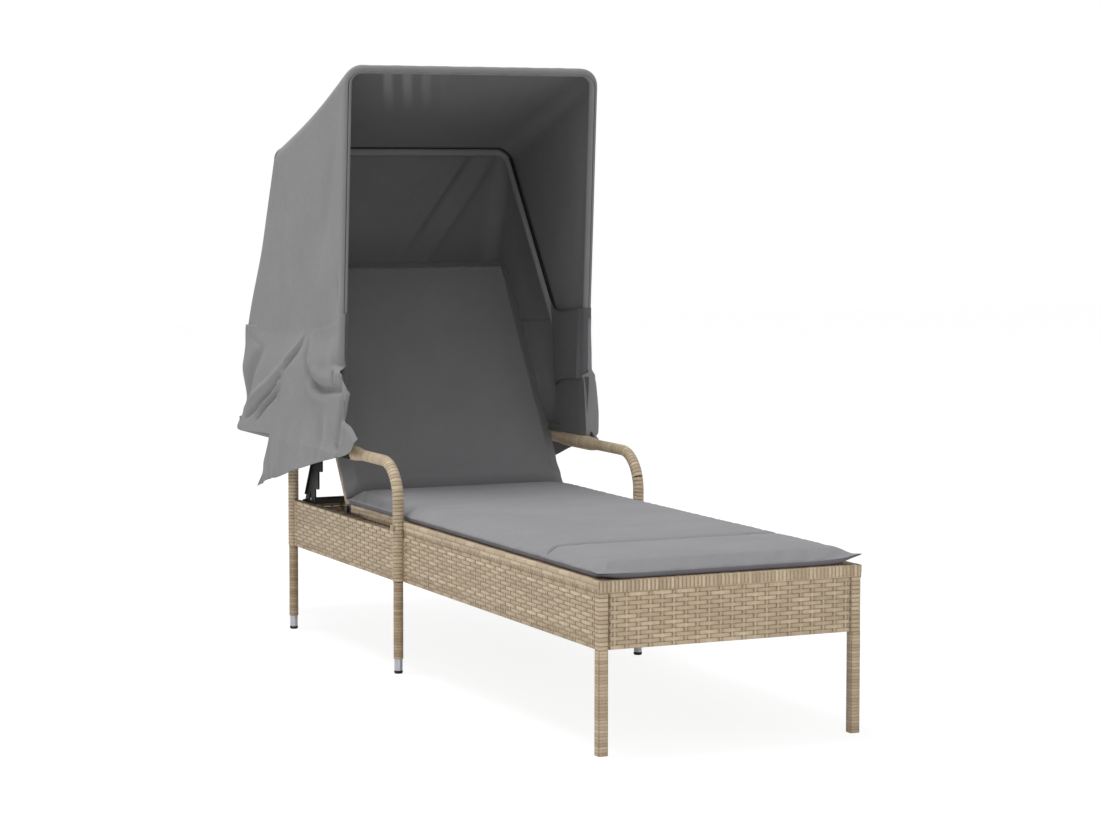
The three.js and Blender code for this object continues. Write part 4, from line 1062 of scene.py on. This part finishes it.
CURTAIN = {
    "left": {
        "front": [(1337, 815), (1339, 764), (1341, 716), (1336, 688), (1300, 664), (1264, 638), (1278, 604),
                  (1288, 568), (1246, 547), (1214, 527)],
        "hem": [(1214, 527), (1244, 494), (1325, 473), (1437, 452), (1535, 431), (1606, 417), (1715, 389),
                (1775, 380), (1824, 363), (1859, 355)],
        "folds": [
            ([(1585, 757), (1640, 705), (1700, 665)], 6, -15.0),
            ([(1606, 752), (1660, 706), (1716, 668)], 9, 7.0),
            ([(1730, 640), (1800, 596), (1890, 556), (1985, 517)], 7, -18.0),
            ([(1722, 665), (1815, 619), (1905, 582), (2010, 542)], 10, 9.0),
            ([(1735, 606), (1828, 561), (1892, 523)], 6.5, -17.0),
            ([(1742, 624), (1812, 582), (1880, 542)], 7, 8.0),
            ([(1732, 640), (1738, 590)], 7, 8.0),
            ([(1889, 690), (1951, 640), (1998, 565)], 20, -15.0),
            ([(2006, 743), (1912, 707)], 6, -7.0),
            ([(1552, 777), (1480, 786), (1385, 802)], 6, -9.0),
            ([(1545, 764), (1475, 773), (1380, 788)], 8, 4.0),
            ([(1570, 750), (1560, 705), (1536, 660), (1500, 635), (1440, 626), (1310, 636)], 8, -21.0),
            ([(1542, 742), (1524, 700), (1498, 672), (1450, 656), (1385, 658)], 16, 9.0),
            ([(1592, 735), (1576, 680), (1548, 632), (1495, 604), (1400, 600)], 15, 6.0),
            ([(1368, 692), (1336, 690), (1312, 684)], 8, -15.0),
            ([(1360, 672), (1352, 634)], 7, -13.0),
            ([(1338, 674), (1330, 640)], 5, 7.0),
            ([(1314, 672), (1306, 640)], 7, -10.0),
            ([(1290, 615), (1312, 560), (1345, 484)], 12, -10.0),
            ([(1268, 596), (1285, 555), (1290, 520)], 12, 5.0),
            ([(1444, 560), (1446, 470)], 17, -8.0),
            ([(1396, 570), (1400, 480)], 18, 5.0),
            ([(1560, 560), (1580, 450)], 26, -4.0),
            ([(1690, 530), (1712, 410)], 26, 4.0),
            ([(1786, 470), (1800, 384)], 14, -4.0),
        ],
    },
    "right": {
        "front": [(1337, 815), (1339, 764), (1342, 710), (1346, 655), (1342, 625), (1338, 596), (1334, 561),
                  (1330, 520), (1330, 492)],
        "hem": [(1330, 492), (1372, 484), (1414, 480), (1514, 456), (1606, 428), (1715, 396), (1775, 380),
                (1828, 366), (1868, 355)],
        "folds": [
            ([(1600, 740), (1655, 690), (1712, 648)], 12, 6.0),
            ([(1585, 757), (1640, 705), (1700, 665)], 10, -9.0),
            ([(1740, 655), (1830, 600), (1960, 520)], 14, -14.0),
            ([(1730, 690), (1815, 640), (1980, 560)], 14, 7.0),
            ([(1370, 640), (1430, 630), (1500, 634), (1560, 664)], 9, -12.0),
            ([(1375, 664), (1430, 652), (1500, 660)], 16, 7.0),
            ([(1385, 600), (1388, 540), (1392, 490)], 12, -6.0),
            ([(1430, 580), (1435, 480)], 16, 5.0),
            ([(1550, 600), (1560, 480)], 20, -6.0),
            ([(1650, 560), (1665, 440)], 20, 5.0),
            ([(1760, 500), (1775, 400)], 18, -5.0),
        ],
    },
}
CURTAIN_TOP = [(1337, 815), (1375, 806), (1470, 788), (1560, 778), (1780, 764), (1990, 756)]
CURTAIN_REAR = [(1990, 756), (2012, 690), (2020, 600), (2020, 520), (2012, 482), (1788, 492), (1859, 355)]


def round_front_hoop(y, z, x):
    """A point ahead of the front hoop's outer side is laid round the hoop, by its distance along it."""
    hoop_y = on_hoop(FRONT, 0, (z - PIVOT_Z) / math.sin(FRONT[1])).y
    radius = x - FRONT[0]
    turn = (hoop_y - y) / radius
    return hoop_y - radius * math.sin(turn), FRONT[0] + radius * math.cos(turn), turn


LEAVES_HOOP = {"left": 682, "right": 644}
TURNS_IN = {"left": (645, 8), "right": (662, 40)}
STAND_OFF = 15.0
HOOD_EDGE = 46.0


def curtain_point(name, side, y, z, drop, folds):
    """A side cloth's point: on the hood's side at its seam, and standing off it where it hangs loose."""
    loose = smooth((790 - z) / 100) * smooth(drop * 5)
    touching = hood_side(y, z) + mix(-0.5, 1.0, smooth(drop * 14))
    leaves = LEAVES_HOOP[name]
    at_hoop = smooth((z - leaves) / 20) * (1 - smooth((y - 1338) / 60))
    x = touching + loose * STAND_OFF * (1 - at_hoop) + 5 * smooth((470 - z) / 120)
    for points, width, height in folds:
        x += ridge(y, z, points, width, height) * smooth(drop * 8) * (1 - at_hoop)
    if z > 478:
        x = max(x, touching + 0.8 * loose)
    if y > 1740 and z < 430:
        x += 5.0 * math.sin((y - 1740) / 9) * smooth((430 - z) / 50)
        z += 2.4 * math.sin((y - 1740) / 7) * smooth((385 - z) / 25)
    rounded_y, rounded_x, turn = round_front_hoop(y, max(z, 600), max(x, FRONT[0] + 8))
    if turn > 0:
        share = smooth((z - leaves + 6) / 16)
        y, x = mix(y, rounded_y, share), mix(x, rounded_x, share)
    edge, share = rear_edge(z)
    past = clamp(y - (edge - HOOD_EDGE), 0, 30)
    x -= HOOD_EDGE - math.sqrt(HOOD_EDGE ** 2 - past ** 2)
    if z > REAR[1]:
        away = abs(edge - 22 - y)
        shift = corner_shift(side, share, away)
        step = 8 * smooth((772 - z) / 14) * smooth((z - 690) / 60) * bell(away, 40)
        return Vector((side * (x + step * 0.6) + shift.x, y + shift.y + step * 0.8, z))
    return Vector((side * x, y, z))


def follow_hoops(piece):
    """Bake the cloth's place into its mesh; two points by the front and mid hoops' lower ends are worked out
    but not used.
    """
    at(0, *on_hoop(FRONT, 0, 200).yz)
    at(0, *on_hoop(MID, 0, 200).yz)
    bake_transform(piece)


def make_curtains(cloth, shaded_lining):
    columns, rows = 150, 104
    for name, side in SIDES.items():
        plan = CURTAIN[name]
        front = [spline(plan["front"], i / rows) for i in range(rows + 1)]
        hem = [spline(plan["hem"], j / columns) for j in range(columns + 1)]
        top = [spline(CURTAIN_TOP, j / columns) for j in range(columns + 1)]
        rear = [path_through(CURTAIN_REAR, i / rows) for i in range(rows + 1)]
        grid = []
        for i in range(rows + 1):
            v = i / rows
            line = []
            for j in range(columns + 1):
                u = j / columns
                spot = []
                for axis in (0, 1):
                    ruled = mix(top[j][axis], hem[j][axis], v) + mix(front[i][axis], rear[i][axis], u)
                    top_line = mix(top[0][axis], top[-1][axis], u)
                    spot.append(ruled - mix(top_line, mix(hem[0][axis], hem[-1][axis], u), v))
                point = curtain_point(name, side, *spot, v, plan["folds"])
                below, inward = TURNS_IN[name]
                turned = smooth((9 - j) / 9) * smooth((below - point.z) / 16)
                point.x -= side * inward * turned ** 1.4
                if name == "right":
                    point.y -= 2 * math.sin(math.pi * turned)
                line.append(point)
            grid.append(line)
        piece = sheet_piece(f"side_cloth_{name}", grid, Vector((side, 0, 0)), 0.9, cloth, shaded_lining, 0)
        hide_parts(f"canopy_skirt_{name}")
        follow_hoops(piece)


POCKET_TOP = [(1532, 824), (1500, 803), (1414, 806), (1372, 816)]
POCKET_HEM = [(1505, 612), (1470, 630), (1410, 636), (1372, 638)]
LINING_HEM = [(1470, 505), (1430, 500), (1380, 499), (1340, 500)]


POCKET_FLAT, POCKET_RADIUS = 0.72, 11.6


def pocket_point(u, v, side):
    """Inside the hood over the hoops' legs: flat for most of its width, then round the front hoop."""
    plain = min(u / POCKET_FLAT, 1.0)
    (y0, z0), (y1, z1) = spline(POCKET_TOP, plain), spline(POCKET_HEM, plain)
    y, z = mix(y0, y1, v), mix(z0, z1, v)
    x = mix(306.5, 302.5, smooth(v)) - 2.5 * math.sin(math.pi * v) * math.sin(math.pi * plain)
    x += 1.6 * math.sin(plain * 9 + v * 2) * smooth(v * 2)
    if u > POCKET_FLAT:
        past = u - POCKET_FLAT
        last_turn = -222 if side > 0 else mix(-222, -165, smooth((z - 690) / 30))
        turn = math.radians(mix(-70, last_turn, past / (1 - POCKET_FLAT)))
        hoop_y = on_hoop(FRONT, 0, (z - PIVOT_Z) / math.sin(FRONT[1])).y
        share = smooth(past / 0.05)
        x = mix(x, FRONT[0] + POCKET_RADIUS * math.sin(turn), share)
        y = mix(y, hoop_y + POCKET_RADIUS * math.cos(turn), share)
    return x, y, z


def lower_point(u, v, side):
    """Under the pocket, down to the armrest; on the left it reaches out to the side cloth's front edge."""
    (y0, z0), (y1, z1) = spline(POCKET_HEM, u), spline(LINING_HEM, u)
    y, z = mix(y0 - 34 * smooth((u - 0.6) / 0.4), y1, v), mix(z0 + 8, z1, v)
    x = mix(307.5, 303.0, smooth(v)) + 2.5 * math.sin(math.pi * v) * math.sin(math.pi * u)
    reach = smooth((u - 0.75) / 0.25)
    if side < 0:
        return x + 36 * reach, y - 44 * reach, z
    return x + 1.6 * math.sin(u * 9 + v * 2) * smooth(v * 2) + 9 * reach, y - 6 * u, z


def make_inner_curtains(cloth):
    """Facings inside the hood's sides, over the hoops' lower ends: a pocket, and a curtain under it."""
    for name, side in SIDES.items():
        for piece_name, point, flat in (("hoop_pocket", pocket_point, (0.21, 0.18)),
                                        ("inner_curtain", lower_point, (0.16, 0.14))):
            rows = []
            for i in range(41):
                spots = [point(j / 60, i / 40, side) for j in range(61)]
                rows.append([Vector((side * x, y, z)) for x, y, z in spots])
            piece = sheet_piece(f"{piece_name}_{name}", rows, Vector((-side, 0, 0)), 0.9, cloth, None, 0)
            if piece_name == "hoop_pocket":
                follow_hoops(piece)
            else:
                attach(piece, "frame")


# Cushions: pads with sloping borders, a pinched edge, sewn seams and ears at their corners

PAD_EDGE = (0, 4, 9, 16, 23, 28, 30, 32, 37, 52)
PAD_BORDER = 30.0
UPPER_RISE = [(0, 13.5), (4, 16.5), (9, 20.0), (16, 24.6), (23, 29.2), (28, 32.6), (30, 33.8), (32, 34.3),
              (52, 35.6), (90, 37)]
UNDER_RISE = [(0, 13.5), (4, 3.0), (9, 0.6), (16, 0)]
PINCH_RISE = UPPER_RISE[0][1]
SEAM_Y = 290.0


def pad_lines(length, extra=()):
    """Distances over a pad at which its mesh has a line: close at its edges and at its seams."""
    middle = length - 2 * PAD_EDGE[-1]
    count = round(middle / 13)
    inner = [PAD_EDGE[-1] + middle * i / count for i in range(1, count)]
    inner = [place for place in inner if all(abs(place - seam) > 15 for seam in extra)]
    inner += [seam + offset for seam in extra for offset in (-12, -6, -2.5, 0, 2.5, 6, 12)]
    return list(PAD_EDGE) + sorted(inner) + [length - edge for edge in reversed(PAD_EDGE)]


def make_pad(name, plan, place, cloth, shaded_under_cloth):
    """A pad made from its upper and its under cloth, which meet in a pinched edge; the under cloth is
    darker, as painted shade.
    """
    half, base = plan["half"], plan["base"]
    start, end = plan["start"], plan["end"]
    length = end(base) - start(base)
    across = pad_lines(2 * half)
    along = pad_lines(length, [seam - start(base) for seam in plan["seams"]])
    bm = bmesh.new()
    held = bm.verts.layers.float.new("held")
    for upper in (False, True):
        rows, holds = [], []
        for v in along:
            row, hold = [], []
            for u in across:
                x, y = u - half, start(base) + v
                gap = min(half - abs(x), v * plan["start_border"], (length - v) * plan["end_border"])
                seam = max((bell(y - s, 5.5) for s in plan["seams"]), default=0.0)
                dip = sum(ridge(x, y, points, width, depth) for points, width, depth in plan["folds"])
                if upper:
                    rise = curve(gap, UPPER_RISE) - (12 * seam + dip) * smooth(gap / 26)
                else:
                    rise = curve(gap, UNDER_RISE)
                z = base + rise
                edge = 1.4 * math.sin(y / 17 + x / 23) * (1 - smooth(gap / 12))
                waist = plan["waist"] * (1 - smooth(gap / 20))
                drawn_in = bell(y - SEAM_Y + 8, 10) - 0.8 * bell(y - SEAM_Y - 22, 16)
                edge += waist * drawn_in - 1.5 * (gap < 1)
                x -= math.copysign(edge, x)
                y = mix(start(z), end(z), v / length)
                for corner_x, corner_y, out, lift in plan["ears"]:
                    near = bell(math.hypot(x - corner_x, y - corner_y), 30)
                    x += math.copysign(out, corner_x) * near
                    z = mix(z, base + PINCH_RISE + (1 if upper else -1), 0.8 * near)
                    y -= out * near * 0.6
                    z += lift * near
                row.append(place(Vector((x, y, z))))
                crease = 0.5 * bell(gap - PAD_BORDER, 3.0)
                hold.append(1.0 if not upper or gap < 1 else max(seam, crease))
            rows.append(row)
            holds.append(hold)
        for vert, (i, j) in lay_grid(bm, rows).items():
            vert[held] = holds[i][j]
        # The under cloth takes the second material, darker as painted shade.
        if not upper:
            for face in bm.faces:
                face.material_index = 1
    bmesh.ops.remove_doubles(bm, verts=bm.verts, dist=2e-5)
    bmesh.ops.recalc_face_normals(bm, faces=bm.faces)
    piece = finished(name, bm, cloth, shaded_under_cloth)
    puff(piece, plan["cap"])
    subdivide(piece)
    apply_modifiers(piece)
    return piece


CLOTH_SETTINGS = {
    "quality": 6, "mass": 0.3, "tension_stiffness": 12, "compression_stiffness": 8, "shear_stiffness": 4,
    "bending_stiffness": 0.3, "vertex_group_mass": "held", "shrink_min": -0.025, "use_pressure": True,
    "uniform_pressure_force": 4.0,
}


def puff(piece, cap):
    """Let the pad swell under an even pressure, held at its seams, each point within the cap."""
    before = [vert.co.copy() for vert in piece.data.vertices]
    weights = [item.value for item in piece.data.attributes["held"].data]
    group = piece.vertex_groups.new(name="held")
    for index, weight in enumerate(weights):
        if weight > 0.02:
            group.add([index], weight, "REPLACE")
    cloth = add_modifier(piece, "CLOTH")
    for key, value in CLOTH_SETTINGS.items():
        setattr(cloth.settings, key, value)
    cloth.settings.effector_weights.gravity = 0
    scene = bpy.context.scene
    for number in range(1, 21):
        scene.frame_set(number)
    evaluated = piece.evaluated_get(bpy.context.evaluated_depsgraph_get())
    after = [vert.co.copy() for vert in evaluated.data.vertices]
    piece.modifiers.clear()
    scene.frame_set(1)
    for vert, old, new in zip(piece.data.vertices, before, after):
        shift = new - old
        if shift.length > cap / 1000:
            shift = shift.normalized() * (cap / 1000)
        vert.co = old + shift


def make_cushions(cloth, shaded_back_cloth, shaded_under_cloth):
    seat = {
        "half": 292.0, "base": 349.5, "start": lambda z: 4.0,
        "end": lambda z: HINGE_Y - FOLD_SLOPE * (z - HINGE_Z) - 2,
        "start_border": 1.0, "end_border": 2.4, "seams": (SEAM_Y,), "waist": 5.0, "cap": 1.8,
        "ears": ((292, 4, 11, 9), (-292, 4, -6, 0)),
        "folds": (([(-290, 1000), (-262, 1010), (-225, 1026), (-120, 1040)], 10, 5.0),
                  ([(-255, 960), (-150, 930)], 12, 1.5),
                  ([(150, 1150), (-40, 1180)], 20, 2.0)),
    }
    piece = make_pad("seat_cushion_cover", seat, Vector, cloth, shaded_under_cloth)
    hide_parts("seat_cushion")
    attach(piece, "frame")
    back = {
        "half": 292.0, "base": 12.9, "start": lambda z: FOLD_SLOPE * z + 2, "end": lambda z: 678.0,
        "start_border": 2.4, "end_border": 1.0, "seams": (), "waist": 0.0, "cap": 2.5, "ears": (),
        "folds": (([(-230, 40), (-245, 150), (-225, 260)], 12, 4.0), ([(-180, 40), (-190, 130)], 12, 3.0),
                  ([(-120, 60), (60, 90), (210, 70)], 18, 3.0), ([(-40, 300), (120, 330)], 30, 2.0)),
    }
    piece = make_pad("back_cushion_cover", back, lean, shaded_back_cloth, shaded_under_cloth)
    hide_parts("back_cushion")
    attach(piece, "backrest")


# Paint on the solids that show, and the pieces in turn

make_camera()
make_lamp("key_lamp", (-1.2, 1.0, 6.2), (0, 0, 0.4), 3.0, 195)
make_lamp("side_lamp", (-5.6, -0.4, 2.9), (0, 0.3, 0.9), 2.4, 32)
make_lamp("foot_lamp", (-1.2, -4.6, 0.9), (0, -1.0, 0.2), 0.9, 1.1, 30)
make_world(0.5)
make_floor()

STRAND = make_strand()
wound_along = make_wound("wound_along", 1, 8.8)
# The backing weaves are darkened as painted shade behind the modelled strands and under the cushions.
weave_side = make_weave("weave_side", 1, 2, 0.5)
weave_end = make_weave("weave_end", 0, 2, 0.5)
weave_flat = make_weave("weave_flat", 0, 1, 0.8)
black_steel = make_steel("black_powder_coat", colour(20, 20, 22), 0.0, 0.36, colour(40, 41, 44))
bright_steel = make_steel("bright_steel", colour(196, 198, 204), 0.85, 0.26, colour(160, 162, 170))
rubber = make_rubber()
hood_cloth = make_cloth("hood_cloth", colour(143, 143, 144))
# The hood's lining is its own cloth made darker, as painted shade inside the hood; it also carries painted
# highlights on gathers.
shaded_hood_lining = make_cloth("shaded_hood_lining", colour(122, 122, 124), gather_highlights=True)
pocket_cloth = make_cloth("pocket_cloth", colour(100, 100, 102))
# Near-black cloth for the cord that is a painted shadow along the mid hoop's sleeve.
seam_shadow_line = make_cloth("seam_shadow_line", colour(40, 40, 42))
cushion_cloth = make_cloth("cushion_cloth", colour(147, 147, 150), relief=0.0002)
# The cushions' under cloth is their cloth made darker, as painted shade under their edges.
shaded_under_cloth = make_cloth("cushion_under_cloth_shaded", colour(112, 110, 116), relief=0.0002)
# The back cushion's cloth is the cushion cloth made darker, as painted shade from the hood over it.
shaded_back_cloth = make_cloth("back_cushion_cloth_shaded", colour(124, 124, 126), relief=0.0002)

# The first word found in a node's name gives its finish
PAINT = (("_foot_cap", rubber), ("_leg_tip", bright_steel), ("canopy_pivot", bright_steel),
         ("frame_bolt", wound_along), ("back_hinge", black_steel), ("_bolt_", bright_steel),
         ("seat_frame", wound_along), ("side_panel", weave_side), ("end_panel", weave_end),
         ("seat_deck", weave_flat), ("back_panel", weave_flat), ("back_frame", wound_along),
         ("", black_steel))
for node_name in nodes:
    materials = nodes[node_name].data.materials
    materials.clear()
    materials.append(next(finish for word, finish in PAINT if word in node_name))

make_wound_bars()
make_rim()
make_panels()
make_back_weave()
make_hood(hood_cloth, shaded_hood_lining, seam_shadow_line)
make_curtains(hood_cloth, shaded_hood_lining)
make_inner_curtains(pocket_cloth)
make_cushions(cushion_cloth, shaded_back_cloth, shaded_under_cloth)

bpy.context.scene.view_settings.view_transform = "Standard"
